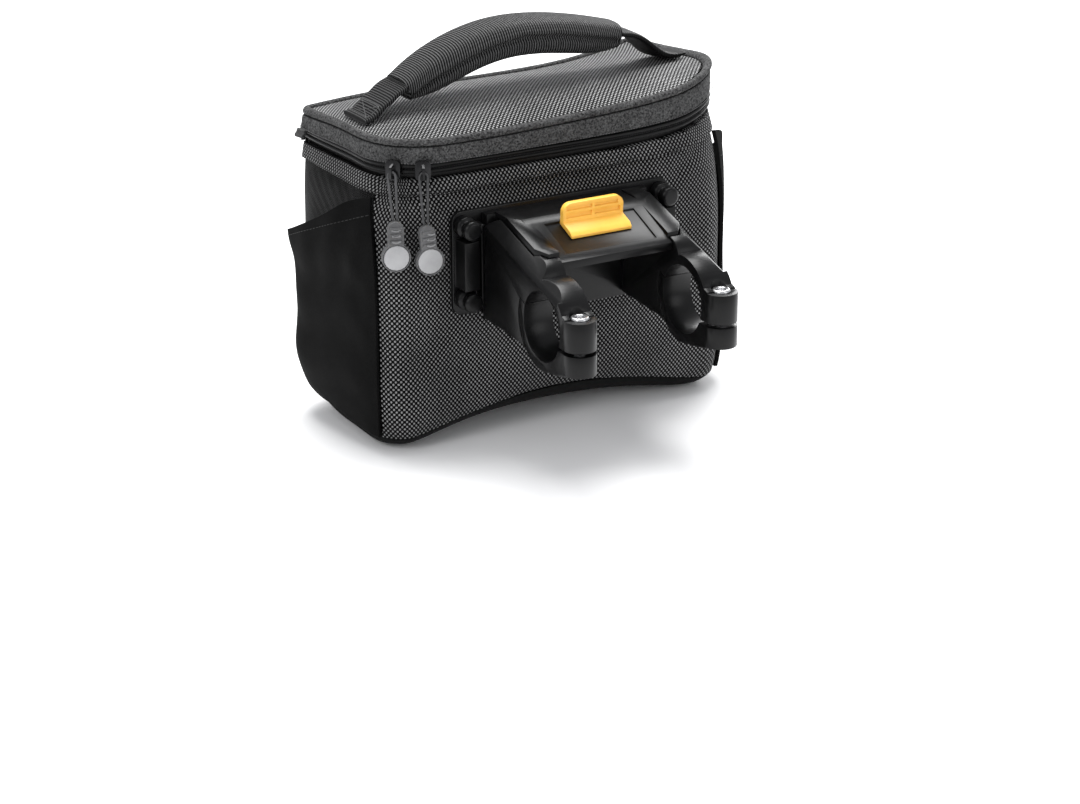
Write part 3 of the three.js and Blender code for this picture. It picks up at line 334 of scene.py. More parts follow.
def addBump(tree, shader, height, distance):
    node = tree.nodes.new("ShaderNodeBump")
    node.inputs["Distance"].default_value = distance
    node.inputs["Strength"].default_value = 1.0
    tree.links.new(height, node.inputs["Height"])
    tree.links.new(node.outputs["Normal"], shader.inputs["Normal"])


def ramp(tree, factor, *stops):
    node = tree.nodes.new("ShaderNodeValToRGB")
    while len(node.color_ramp.elements) < len(stops):
        node.color_ramp.elements.new(0.5)
    for element, (place, color) in zip(node.color_ramp.elements, stops):
        element.position = place
        element.color = color
    tree.links.new(factor, node.inputs["Fac"])
    return node.outputs["Color"]


def grey(value):
    return (value, value, value, 1)


def wovenMaterial(name, look):
    material, tree, shader, vector = startMaterial(name, look["roughness"], coords="cloth")
    weave = placeGroup(tree, weaveNodes, vector, Across=look["across"], Along=look["along"])
    fleck = placeGroup(tree, fleckNodes, vector, Scale=noiseScales["wovenFibres"])
    # Painted highlight: the over-yarns' tops are coloured light where they would catch the lamps, and random
    # patches fade that painted highlight.
    floatHighlight = ramp(tree, weave.outputs["Float"], (0.25, grey(look["dark"])), (0.68, grey(look["light"])))
    highlightPatches = ramp(tree, weave.outputs["Patch"], (0.38, grey(look["faint"])), (0.62, grey(1.12)))
    fibres = ramp(tree, fleck.outputs["Fleck"], (0.3, grey(0.8)), (0.7, grey(1.2)))
    color = multiplyColor(tree, multiplyColor(tree, floatHighlight, highlightPatches), fibres)
    tree.links.new(color, shader.inputs["Base Color"])
    shader.inputs["Specular IOR Level"].default_value = look["specular"]
    addBump(tree, shader, weave.outputs["Height"], look["relief"])
    return material


def heatherMaterial(name, look):
    material, tree, shader, vector = startMaterial(name, look["roughness"])
    fleck = placeGroup(tree, fleckNodes, vector, Scale=look["scale"])
    fibres = ramp(tree, fleck.outputs["Fleck"], (0.34, grey(look["dark"])), (0.66, grey(look["light"])))
    clumps = ramp(tree, fleck.outputs["Clump"], (0.3, grey(0.8)), (0.7, grey(1.15)))
    tree.links.new(multiplyColor(tree, fibres, clumps), shader.inputs["Base Color"])
    shader.inputs["Specular IOR Level"].default_value = look["specular"]
    addBump(tree, shader, fleck.outputs["Fleck"], look["relief"])
    return material


def webbingMaterial(name, look):
    material, tree, shader, vector = startMaterial(name, look["roughness"], coords="cloth")
    ribs = placeGroup(tree, ribNodes, vector, Pitch=look["pitch"])
    fleck = placeGroup(tree, fleckNodes, vector, Scale=noiseScales["webbingFibres"])
    # Painted light and shade: each rib's crest is coloured light and its groove dark.
    ribShade = ramp(tree, ribs.outputs["RidgeShade"], (0.2, grey(look["dark"])), (0.85, grey(look["light"])))
    fibres = ramp(tree, fleck.outputs["Fleck"], (0.3, grey(0.75)), (0.7, grey(1.2)))
    tree.links.new(multiplyColor(tree, ribShade, fibres), shader.inputs["Base Color"])
    shader.inputs["Specular IOR Level"].default_value = look["specular"]
    addBump(tree, shader, ribs.outputs["Height"], look["relief"])
    return material


def mouldedMaterial(name, look):
    material, tree, shader, vector = startMaterial(name, look["roughness"], look.get("metallic", 0.0))
    grain = placeGroup(tree, mouldNodes, vector, Scale=look["scale"])
    tone = ramp(tree, grain.outputs["Polish"], (0.3, (*look["dark"], 1)), (0.7, (*look["light"], 1)))
    tree.links.new(tone, shader.inputs["Base Color"])
    polish = calc(tree, "ADD", calc(tree, "MULTIPLY", grain.outputs["Polish"], look["uneven"]),
                  look["roughness"] - look["uneven"] / 2)
    tree.links.new(polish, shader.inputs["Roughness"])
    shader.inputs["Specular IOR Level"].default_value = look.get("specular", 0.5)
    shader.inputs["Subsurface Weight"].default_value = look.get("glow", 0.0)
    shader.inputs["Subsurface Radius"].default_value = (0.002, 0.0015, 0.001)
    addBump(tree, shader, grain.outputs["Grain"], look["relief"])
    return material


looks = {
    # In the woven looks, light is the colour of the painted highlight on the over-yarns' tops, and faint is
    # how far random patches fade it.
    "weave": {"across": 0.00105, "along": 0.00123, "dark": 0.0005, "light": 0.22, "roughness": 0.6,
              "specular": 0.06, "relief": 0.0004, "faint": 0.88},
    # The lid top's copy of the weave, with its painted float highlight brighter: painted light on the top
    # that faces the lamps.
    "litLidWeave": {"across": 0.00105, "along": 0.00123, "dark": 0.0005, "light": 0.34, "roughness": 0.5,
                 "specular": 0.12, "relief": 0.00045, "faint": 0.9},
    # The side panels' weave: a faint painted highlight on the over-yarns, faded away in random patches.
    "sideCloth": {"across": 0.0007, "along": 0.00082, "dark": 0.001, "light": 0.03, "roughness": 0.55,
                  "specular": 0.06, "relief": 0.00025, "faint": 0.05},
    "plainCloth": {"scale": 1500.0, "dark": 0.002, "light": 0.005, "roughness": 0.7, "specular": 0.08,
                   "relief": 0.00006},
    "bandCloth": {"scale": 1000.0, "dark": 0.004, "light": 0.095, "roughness": 0.75, "specular": 0.1,
                  "relief": 0.00012},
    "stretchCloth": {"scale": 2200.0, "dark": 0.002, "light": 0.005, "roughness": 0.8, "specular": 0.05,
                     "relief": 0.00005},
    # In the webbing looks, light is the painted light on the rib crests and dark is the painted shade in the
    # grooves.
    "webbing": {"pitch": 0.0013, "dark": 0.0005, "light": 0.1, "roughness": 0.55, "specular": 0.08,
                "relief": 0.0007},
    "strapWebbing": {"pitch": 0.00112, "dark": 0.0005, "light": 0.058, "roughness": 0.55, "specular": 0.08,
                     "relief": 0.0007},
    "smoothWebbing": {"pitch": 0.0013, "dark": 0.002, "light": 0.007, "roughness": 0.5, "specular": 0.12,
                      "relief": 0.00015},
    "zipTape": {"scale": 1800.0, "dark": 0.001, "light": 0.004, "roughness": 0.42, "specular": 0.16,
                "relief": 0.00008},
    "thread": {"scale": 3000.0, "dark": 0.05, "light": 0.14, "roughness": 0.6, "specular": 0.2,
               "relief": 0.00005},
    "tapeTip": {"scale": 1800.0, "dark": 0.02, "light": 0.07, "roughness": 0.6, "specular": 0.2,
                "relief": 0.00008},
    "darkThread": {"scale": 3000.0, "dark": 0.006, "light": 0.03, "roughness": 0.6, "specular": 0.2,
                   "relief": 0.00005},
    "plastic": {"scale": 2600.0, "dark": (0.0015, 0.0015, 0.0016), "light": (0.0035, 0.0035, 0.0037),
                "roughness": 0.3, "uneven": 0.1, "specular": 0.2, "relief": 0.00002},
    "zipMetal": {"scale": 1800.0, "dark": (0.008, 0.008, 0.0085), "light": (0.03, 0.03, 0.031),
                 "roughness": 0.28, "uneven": 0.15, "metallic": 0.8, "relief": 0.00002},
    "pullCord": {"scale": 1500.0, "dark": (0.03, 0.03, 0.031), "light": (0.06, 0.06, 0.062), "roughness": 0.5,
                 "uneven": 0.1, "specular": 0.3, "relief": 0.00005},
    "pullRubber": {"scale": 1500.0, "dark": (0.065, 0.065, 0.066), "light": (0.105, 0.105, 0.107),
                   "roughness": 0.42, "uneven": 0.1, "specular": 0.35, "relief": 0.00003, "glow": 0.1},
    "tabRidge": {"scale": 1500.0, "dark": (0.16, 0.16, 0.162), "light": (0.24, 0.24, 0.243), "roughness": 0.4,
                 "uneven": 0.1, "specular": 0.35, "relief": 0.00003},
    "pullDisc": {"scale": 900.0, "dark": (0.27, 0.27, 0.275), "light": (0.4, 0.4, 0.405), "roughness": 0.4,
                 "uneven": 0.12, "specular": 0.4, "relief": 0.00003},
    "buttonPlastic": {"scale": 2200.0, "dark": (0.84, 0.45, 0.06), "light": (0.92, 0.52, 0.08),
                      "roughness": 0.4, "uneven": 0.1, "specular": 0.4, "relief": 0.00002, "glow": 0.2},
    "steel": {"scale": 1500.0, "dark": (0.45, 0.45, 0.46), "light": (0.65, 0.65, 0.66), "roughness": 0.26,
              "uneven": 0.14, "metallic": 1.0, "relief": 0.00002},
}

finishes = {}
for key in ("weave", "litLidWeave", "sideCloth"):
    finishes[key] = wovenMaterial(key, looks[key])
for key in ("plainCloth", "bandCloth", "stretchCloth", "zipTape", "thread", "tapeTip", "darkThread"):
    finishes[key] = heatherMaterial(key, looks[key])
for key in ("webbing", "strapWebbing", "smoothWebbing"):
    finishes[key] = webbingMaterial(key, looks[key])
for key in ("plastic", "zipMetal", "pullCord", "pullRubber", "tabRidge", "pullDisc", "buttonPlastic",
            "steel"):
    finishes[key] = mouldedMaterial(key, looks[key])
print("materials are made")


# Copies of the model's solids, and the tools that shape them

shaping = {
    "weld": 0.00001,        # vertices nearer than this are joined, in metres
    "quadAngle": 60,
    "clothEdge": 0.4,       # radius of a cloth's cut edge, in mm
    "clothEdgeAngle": 55,
    "flatAngle": 0.8,       # faces this near to flat are joined before edges are broken
    "hardEdgeAngle": 38,
}


def takeCopy(node, name):
    activate(nodes[node])
    bpy.ops.object.duplicate()
    piece = bpy.context.view_layer.objects.active
    piece.name = name
    piece.data.name = name
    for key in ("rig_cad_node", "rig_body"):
        if key in piece:
            del piece[key]
    bpy.ops.object.parent_clear(type="CLEAR_KEEP_TRANSFORM")
    bpy.ops.object.mode_set(mode="EDIT")
    bpy.ops.mesh.select_all(action="SELECT")
    bpy.ops.mesh.remove_doubles(threshold=shaping["weld"])
    bpy.ops.object.mode_set(mode="OBJECT")
    return piece


def setFinish(piece, finish):
    piece.data.materials.clear()
    piece.data.materials.append(finishes[finish])


def applyModifier(piece, kind, **values):
    modifier = piece.modifiers.new(kind.lower(), kind)
    for key, value in values.items():
        setattr(modifier, key, value)
    activate(piece)
    bpy.ops.object.modifier_apply(modifier=modifier.name)


def subdivideSoft(piece, levels, sharp=60):
    activate(piece)
    bpy.ops.object.mode_set(mode="EDIT")
    bpy.ops.mesh.select_all(action="SELECT")
    quadAngle = math.radians(shaping["quadAngle"])
    bpy.ops.mesh.tris_convert_to_quads(face_threshold=quadAngle, shape_threshold=quadAngle)
    if sharp:
        bpy.ops.mesh.select_mode(type="EDGE")
        bpy.ops.mesh.select_all(action="DESELECT")
        bpy.ops.mesh.edges_select_sharp(sharpness=math.radians(sharp))
        bpy.ops.transform.edge_crease(value=1.0)
    bpy.ops.object.mode_set(mode="OBJECT")
    applyModifier(piece, "SUBSURF", levels=levels, render_levels=levels)


def smoothByAngle(piece, angle):
    activate(piece)
    bpy.ops.object.shade_smooth_by_angle(angle=math.radians(angle))


def readPoints(piece):
    points = np.zeros(len(piece.data.vertices) * 3)
    piece.data.vertices.foreach_get("co", points)
    return points.reshape(-1, 3)


def movePoints(piece, move):
    points = readPoints(piece)
    piece.data.vertices.foreach_set("co", np.ascontiguousarray(move(points)).ravel())
    piece.data.update()


def layCloth(piece, place):
    # The cloth's own map, in metres: place turns points into how far along and up the cloth they lie.
    layer = piece.data.uv_layers.get("cloth") or piece.data.uv_layers.new(name="cloth")
    piece.data.uv_layers.active = layer
    flat = place(readPoints(piece))
    corners = np.zeros(len(piece.data.loops), int)
    piece.data.loops.foreach_get("vertex_index", corners)
    layer.data.foreach_set("uv", np.ascontiguousarray(flat[corners]).ravel())


# Outlines of the lid and the tub, in mm

cornerSteps = 12
mapStep = 0.5          # between the points that the cloth's map is read from
zipEndMark = 82        # from the middle of the front to the end of the zip, along the outline
lidPlan = {"half": 86, "back": -47, "front": 45.2, "backCorner": 30, "frontCorner": 5.2}
tubPlan = {"half": 88.5, "back": -48.0, "front": 45.5, "backCorner": 16, "frontCorner": 12}


def planPoints(plan, inset, spacing):
    # Goes from the middle of the front by the left to the back and round again.
    half, back, front = plan["half"] - inset, plan["back"] + inset, plan["front"] - inset
    backRound, frontRound = plan["backCorner"] - inset, plan["frontCorner"] - inset
    corners = [
        ((-half + frontRound, front - frontRound), frontRound, 90),
        ((-half + backRound, back + backRound), backRound, 180),
        ((half - backRound, back + backRound), backRound, 270),
        ((half - frontRound, front - frontRound), frontRound, 0),
    ]
    outline = [(0.0, front)]
    for (x, y), radius, startAngle in corners:
        for i in range(cornerSteps + 1):
            angle = math.radians(startAngle + 90 * i / cornerSteps)
            outline.append((x + radius * math.cos(angle), y + radius * math.sin(angle)))
    outline = np.array(outline + [(0.0, front)])
    run = np.concatenate([[0], np.cumsum(np.linalg.norm(np.diff(outline, axis=0), axis=1))])
    marks = np.linspace(0, run[-1], int(round(run[-1] / spacing)) + 1)
    return np.stack([np.interp(marks, run, outline[:, k]) for k in (0, 1)], 1), marks


filled = {
    # how far the loaded cloth moves, in mm
    "end": 4, "top": 6.3, "rim": 4.6, "left": 2.6, "lift": 9, "climb": 4, "sag": 2.4,
    "turnBack": 1.5,        # takes from the rim's move at the front, which so goes in by half as much
    # where each move starts or ends, and the length that it grows over, upwards
    "topUp": (105, 30),
    "upperUp": (118, 14),
    "rimUp": (133, 11),
    "rimEnd": (164, 8),
    "bulgeUp": (120, 10),
    "bulgeEnd": (147, 6),
    # along the bag
    "climbAlong": (-45, 125),
    "sagAlong": (-45, 40),
    # and from the bracket's side to the front
    "awayAcross": (10, 38),
    "climbEnd": (25, 50),
    "bulgeAcross": (-10, 40),
    "sagAcross": (0, 45),
}


def settle(points):
    # The loaded cloth's set, as the solids have it, on points in mm.
    out = np.array(points, float)
    x, y, z = out[:, 0].copy(), out[:, 1].copy(), out[:, 2].copy()
    top = rise(z, *filled["topUp"])
    upper = rise(z, *filled["upperUp"])
    rim = rise(z, *filled["rimUp"]) * fall(z, *filled["rimEnd"])
    side = np.maximum(0, x) / lidPlan["half"]
    end = np.minimum(1, side)
    away = rise(y, *filled["awayAcross"])
    climb = rise(x, *filled["climbAlong"]) * fall(y, *filled["climbEnd"])
    bulge = rise(z, *filled["bulgeUp"]) * fall(z, *filled["bulgeEnd"]) * rise(y, *filled["bulgeAcross"])
    left = np.clip(-x / lidPlan["half"], 0, 1)
    sag = fall(x, *filled["sagAlong"]) * rise(y, *filled["sagAcross"])
    out[:, 0] += (filled["end"] + filled["top"] * top) * side ** 2
    rimOut = filled["rim"] * upper * (1 - filled["turnBack"] * away) * end ** 8
    out[:, 0] += rimOut - filled["left"] * bulge * left ** 8
    out[:, 2] += filled["lift"] * top * end ** 4 + rim * (filled["climb"] * climb - filled["sag"] * sag)
    return out


def aroundTub(points):
    # How far round the tub and how high each point lies. The map starts at the right front corner.
    plan, marks = planPoints(tubPlan, 0, mapStep)
    tree = kdtree.KDTree(len(plan))
    for i, (x, y) in enumerate(plan):
        tree.insert((x, y, 0), i)
    tree.balance()
    ahead = np.gradient(plan, axis=0)
    ahead /= np.linalg.norm(ahead, axis=1)[:, None]
    flat = np.zeros((len(points), 2))
    for k, (x, y, z) in enumerate(points / mm):
        i = tree.find((x, y, 0))[1]
        start = marks[i] - (marks[-1] if marks[i] > marks[-1] - zipEndMark else 0)
        flat[k] = start + (x - plan[i, 0]) * ahead[i, 0] + (y - plan[i, 1]) * ahead[i, 1], z
    return flat * mm


def fromAbove(points):
    return points[:, :2].copy()


# The middle of the handle from its left end to its right one, in x and z
handleLine = [
    (-79, 152), (-68.5, 156), (-58, 160), (-45, 172), (-30, 178.5), (-15, 183), (3, 185.5), (20, 184.5),
    (40, 180), (56, 173), (66, 167), (75, 157), (88, 155),
]


def alongHandle(points):
    # Across the handle, and along its length.
    line = np.array(handleLine, float) * mm
    run = np.concatenate([[0], np.cumsum(np.linalg.norm(np.diff(line, axis=0), axis=1))])
    return np.stack([points[:, 1], np.interp(points[:, 0], line[:, 0], run)], 1)


# Sewn cloth: the tub with its pockets and hem, the zip tape and the lid

shells = {
    # node: material slot, finish, subdivision
    "back_panel": ("weave", "weave", 3),
    "front_panel": ("weave", "weave", 2),
    "side_panel_left": ("plain_cloth", "sideCloth", 3),
    "side_panel_right": ("plain_cloth", "sideCloth", 3),
    "bottom_panel": ("plain_cloth", "plainCloth", 2),
    "body_hem": ("weave", "weave", 2),
    "side_pocket_left": ("stretch_cloth", "stretchCloth", 3),
    "side_pocket_right": ("stretch_cloth", "stretchCloth", 3),
    "lid_hinge": ("plain_cloth", "plainCloth", 2),
    "lid_band": ("band_cloth", "bandCloth", 2),
    "zip_tape": ("zip", "zipTape", 2),
    "lid_top": ("weave", "litLidWeave", 3),
}

# The stretch pockets, in mm
pockets = {
    "depth": 0.55,              # of the waves
    "waveUp": 27,
    "waveAlong": 19,
    "slant": 0.35,
    "sway": (0.9, 11),          # how far the first waves run askew, and over what length
    "waveShare": 0.7,           # of the waves along the bag
    "fullness": 0.6,            # how far the cloth stands out between the waves
    "seams": (39, 14),          # the waves end at the side seams
    "bottom": (12, 16),         # and at the bottom
    "upper": (60, 30),          # where the waves along the bag grow
    "mouth": ((-40, 40), (121, 89)),    # y and height of its two ends
    "mouthRound": 3.5,          # how far the mouth's front corner is rounded down
    "mouthCorner": (31, 9),
    "mouthEdge": 12,
}

# The side panels' slanting pulls above the pockets, in mm
pulls = {
    "depth": 0.14,
    "pitch": 5.0,
    "slope": (0.6, 0.8),        # along and up
    "seams": (34, 12),
    "bottom": (92, 10),
    "top": (124, 8),
}


def mouthHeight(y):
    return np.interp(y, *pockets["mouth"])


def ripplePocket(points):
    out = points / mm
    y, z = out[:, 1], out[:, 2]
    hold = fall(np.abs(y), *pockets["seams"]) * rise(z, *pockets["bottom"])
    sway, swayRun = pockets["sway"]
    wave = np.sin(2 * math.pi * z / pockets["waveUp"] + sway * np.sin(y / swayRun))
    slanted = np.sin(2 * math.pi * (y + pockets["slant"] * z) / pockets["waveAlong"])
    wave += pockets["waveShare"] * slanted * rise(z, *pockets["upper"])
    out[:, 0] += np.sign(out[:, 0]) * pockets["depth"] * (pockets["fullness"] + wave) * hold
    edge = pockets["mouthEdge"]
    corner = rise(y, *pockets["mouthCorner"]) ** 2 * rise(z, mouthHeight(y) - edge, edge)
    out[:, 2] -= pockets["mouthRound"] * corner
    return out * mm


# Creases of the back panel and the hem: ends in x and z, width and depth in mm.
creases = [
    ((-53, 112), (-74, 127), 3.2, 1.5),
    ((-50, 118.5), (46, 119.5), 3.4, 1.6),
    ((-66, 96), (-84, 116), 4.0, 1.1),
    ((58, 108), (80, 124), 3.6, 1.3),
    ((-60, 60), (-82, 34), 6.0, 1.2),
    ((60, 58), (84, 30), 6.0, 1.2),
    ((-30, 46), (22, 40), 7.0, 1.0),
]

creaseShare = 0.35              # of the depth, that is there along the whole crease
creaseSpan = (0.08, 0.92)       # of its length, over which it deepens to the middle

# The creases stay on the bracket's side, off the ends, the folded edge and the bottom.
creaseBounds = {"side": (-20, 12), "ends": (88, 8), "edge": (129.3, 6), "bottom": (14, 12)}


def creaseBack(points):
    out = points / mm
    spot = out[:, [0, 2]]
    dent = np.zeros(len(out))
    for start, end, width, depth in creases:
        start, end = np.array(start, float), np.array(end, float)
        reach = end - start
        share = np.clip(((spot - start) @ reach) / (reach @ reach), 0, 1)
        away = np.linalg.norm(spot - start - share[:, None] * reach, axis=1)
        deepest = creaseShare + (1 - creaseShare) * np.sin(math.pi * np.clip(share, *creaseSpan))
        dent += depth * np.exp(-(away / width) ** 2) * deepest
    hold = fall(out[:, 1], *creaseBounds["side"]) * fall(np.abs(out[:, 0]), *creaseBounds["ends"])
    hold *= fall(out[:, 2], *creaseBounds["edge"]) * rise(out[:, 2], *creaseBounds["bottom"])
    out[:, 1] += dent * hold
    return out * mm


def pullSide(points):
    out = points / mm
    y, z = out[:, 1], out[:, 2]
    hold = fall(np.abs(y), *pulls["seams"]) * rise(z, *pulls["bottom"]) * fall(z, *pulls["top"])
    along, up = pulls["slope"]
    wave = np.sin(2 * math.pi * (z * up - y * along) / pulls["pitch"])
    out[:, 0] += pulls["depth"] * wave * hold
    return out * mm


def makeShells():
    for node, (slot, finish, levels) in shells.items():
        piece = takeCopy(node, node + "_cloth")
        subdivideSoft(piece, levels)
        if "pocket" in node:
            movePoints(piece, ripplePocket)
        if node in ("back_panel", "body_hem"):
            movePoints(piece, creaseBack)
        if "side_panel" in node:
            movePoints(piece, pullSide)
        applyModifier(piece, "BEVEL", width=shaping["clothEdge"] * mm, segments=2, limit_method="ANGLE",
                      angle_limit=math.radians(shaping["clothEdgeAngle"]))
        smoothByAngle(piece, 50)
        layCloth(piece, fromAbove if node == "lid_top" else aroundTub)
        setFinish(piece, finish)
        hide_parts(node)
        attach(piece, "bag")
        print("cloth:", node, len(piece.data.polygons))


makeShells()


# Rolled edge of the lid

pipingPlump = 0.12        # mm that the roll is fatter than its solid


def makePiping():
    piece = takeCopy("lid_piping", "lid_piping_roll")
    subdivideSoft(piece, 3, sharp=0)
    activate(piece)
    bpy.ops.object.mode_set(mode="EDIT")
    bpy.ops.mesh.select_all(action="SELECT")
    bpy.ops.transform.shrink_fatten(value=pipingPlump * mm)
    bpy.ops.object.mode_set(mode="OBJECT")
    smoothByAngle(piece, 80)
    setFinish(piece, "bandCloth")
    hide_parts("lid_piping")
    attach(piece, "bag")


makePiping()
print("piping is rolled")


# Handle

grip = {
    "topAlong": (-58, -45, -30, -15, 3, 20, 40, 57),
    "topHeight": (163, 171.5, 178.3, 183.2, 186, 184.6, 180.6, 177),
    "foldDepth": 2.1,
    "foldWidth": 1.3,
    "foldBelow": 7.6,      # under the grip's top line
    "lip": 0.7,            # how far the sleeve's upper layer stands over the fold
    "lipAbove": 2.4,
    "lipWidth": 1.6,
    "flank": (7, 4),       # the fold shows on the long sides
    "ends": (56, 3),
}


def foldGrip(points):
    # Pinches the sleeve where its wrap ends below the upper layer, on both long sides.
    out = points / mm
    top = np.interp(out[:, 0], grip["topAlong"], grip["topHeight"])
    below = top - out[:, 2] - grip["foldBelow"]
    flank = rise(np.abs(out[:, 1]), *grip["flank"]) * fall(np.abs(out[:, 0]), *grip["ends"])
    pinch = np.exp(-(below / grip["foldWidth"]) ** 2) * grip["foldDepth"]
    lip = np.exp(-((below + grip["lipAbove"]) / grip["lipWidth"]) ** 2) * grip["lip"]
    out[:, 1] += np.sign(out[:, 1]) * flank * (lip - pinch)
    return out * mm


def makeHandle():
    for node, finish, levels in (("handle_grip", "webbing", 3), ("handle_strap_left", "strapWebbing", 3),
                                 ("handle_strap_right", "smoothWebbing", 3)):
        piece = takeCopy(node, node + "_webbing")
        subdivideSoft(piece, levels, sharp=75)
        if node == "handle_grip":
            movePoints(piece, foldGrip)
        smoothByAngle(piece, 60)
        layCloth(piece, alongHandle)
        setFinish(piece, finish)
        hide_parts(node)
        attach(piece, "bag")


makeHandle()
print("handle is covered")


# Hard parts: the solids with broken edges

hardParts = {
    # node: body, material slot, finish, edge radius in mm
    "back_plate": ("bag", "plastic", "plastic", 0.5),
    "plate_stud_left_top": ("bag", "plastic", "plastic", 0.35),
    "plate_stud_left_bottom": ("bag", "plastic", "plastic", 0.35),
    "plate_stud_right_top": ("bag", "plastic", "plastic", 0.35),
    "plate_stud_right_bottom": ("bag", "plastic", "plastic", 0.35),
    "bracket_core": ("bracket", "plastic", "plastic", 0.5),
    "clamp_arm_left": ("bracket", "plastic", "plastic", 0.6),
    "clamp_arm_right": ("bracket", "plastic", "plastic", 0.6),
    "clamp_cap_left": ("bracket", "plastic", "plastic", 0.6),
    "clamp_cap_right": ("bracket", "plastic", "plastic", 0.6),
    "clamp_bolt_left": ("bracket", "steel", "steel", 0.25),
    "clamp_bolt_right": ("bracket", "steel", "steel", 0.25),
    "release_button": ("button", "button_plastic", "buttonPlastic", 0.4),
    "zip_slider_left": ("bag", "zip_metal", "zipMetal", 0.3),
    "zip_slider_right": ("bag", "zip_metal", "zipMetal", 0.3),
    "pull_tab_left": ("bag", "pull_rubber", "pullRubber", 0.4),
    "pull_tab_right": ("bag", "pull_rubber", "pullRubber", 0.4),
    "tab_disc_left": ("bag", "pull_disc", "pullDisc", 0.3),
    "tab_disc_right": ("bag", "pull_disc", "pullDisc", 0.3),
}


def makeHardParts():
    for node, (body, slot, finish, edge) in hardParts.items():
        piece = takeCopy(node, node + "_finished")
        activate(piece)
        bpy.ops.object.mode_set(mode="EDIT")
        bpy.ops.mesh.select_all(action="SELECT")
        bpy.ops.mesh.dissolve_limited(angle_limit=math.radians(shaping["flatAngle"]))
        bpy.ops.object.mode_set(mode="OBJECT")
        applyModifier(piece, "BEVEL", width=edge * mm, segments=2, limit_method="ANGLE",
                      angle_limit=math.radians(shaping["hardEdgeAngle"]))
        smoothByAngle(piece, shaping["hardEdgeAngle"])
        setFinish(piece, finish)
        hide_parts(node)
        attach(piece, body)


makeHardParts()
print("hard parts are finished")


# Pull cords

def makeCords():
    for side in ("left", "right"):
        node = "pull_loop_" + side
        piece = takeCopy(node, node + "_cord")
        subdivideSoft(piece, 2, sharp=0)
        smoothByAngle(piece, 80)
        setFinish(piece, "pullCord")
        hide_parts(node)
        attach(piece, "bag")


makeCords()
print("cords are hung")


# Tubes, and rows of stitches, along lines on the cloth

def addTube(name, points, radius, finish, roundness=2):
    curve = bpy.data.curves.new(name, "CURVE")
    curve.dimensions = "3D"
    curve.bevel_depth = radius * mm
    curve.bevel_resolution = roundness
    curve.use_fill_caps = True
    spline = curve.splines.new("POLY")
    spline.points.add(len(points) - 1)
    for knot, place in zip(spline.points, points):
        knot.co = (*(np.array(place) * mm), 1)
    piece = bpy.data.objects.new(name, curve)
    bpy.context.collection.objects.link(piece)
    activate(piece)
    bpy.ops.object.convert(target="MESH")
    piece = bpy.context.object
    smoothByAngle(piece, 60)
    setFinish(piece, finish)
    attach(piece, "bag")


lineStep = 1.5      # between the points of a line round the lid


def lidLine(inset, height, cut=0.0):
    # A line round the lid's band, from one front corner by the back to the other.
    points, marks = planPoints(lidPlan, inset, lineStep)
    line = np.column_stack([points, np.full(len(points), height)])
    keep = (marks > zipEndMark + cut) & (marks < marks[-1] - zipEndMark - cut)
    return settle(line[keep])


# How a line is found round a shell: its steps, the reach round it and up from each step that is looked at
# (the first two in radians, the third in mm), and how many steps are averaged
aroundShell = {"turn": 0.00625, "angle": 0.02, "height": 1.2, "averaged": 9}


def tubLine(node, height, out):
    # A line round a shell at one height, a little off its outer face.
    shell = readPoints(bpy.data.objects[node + "_cloth"]) / mm
    near = shell[np.abs(shell[:, 2] - height) < aroundShell["height"]]
    around = np.arctan2(near[:, 1], near[:, 0])
    reach = np.hypot(near[:, 0], near[:, 1])
    line = []
    for angle in np.arange(-math.pi, math.pi, aroundShell["turn"]):
        close = np.abs(around - angle) < aroundShell["angle"]
        if close.any():
            line.append((angle, reach[close].max() + out))
    line = np.array(line)
    count = aroundShell["averaged"]
    radius = np.convolve(np.pad(line[:, 1], count // 2, mode="edge"), np.ones(count) / count, mode="valid")
    return np.column_stack([radius * np.cos(line[:, 0]), radius * np.sin(line[:, 0]),
                            np.full(len(line), height)])


lookAhead = 0.4     # how far on along the line a stitch's direction is read


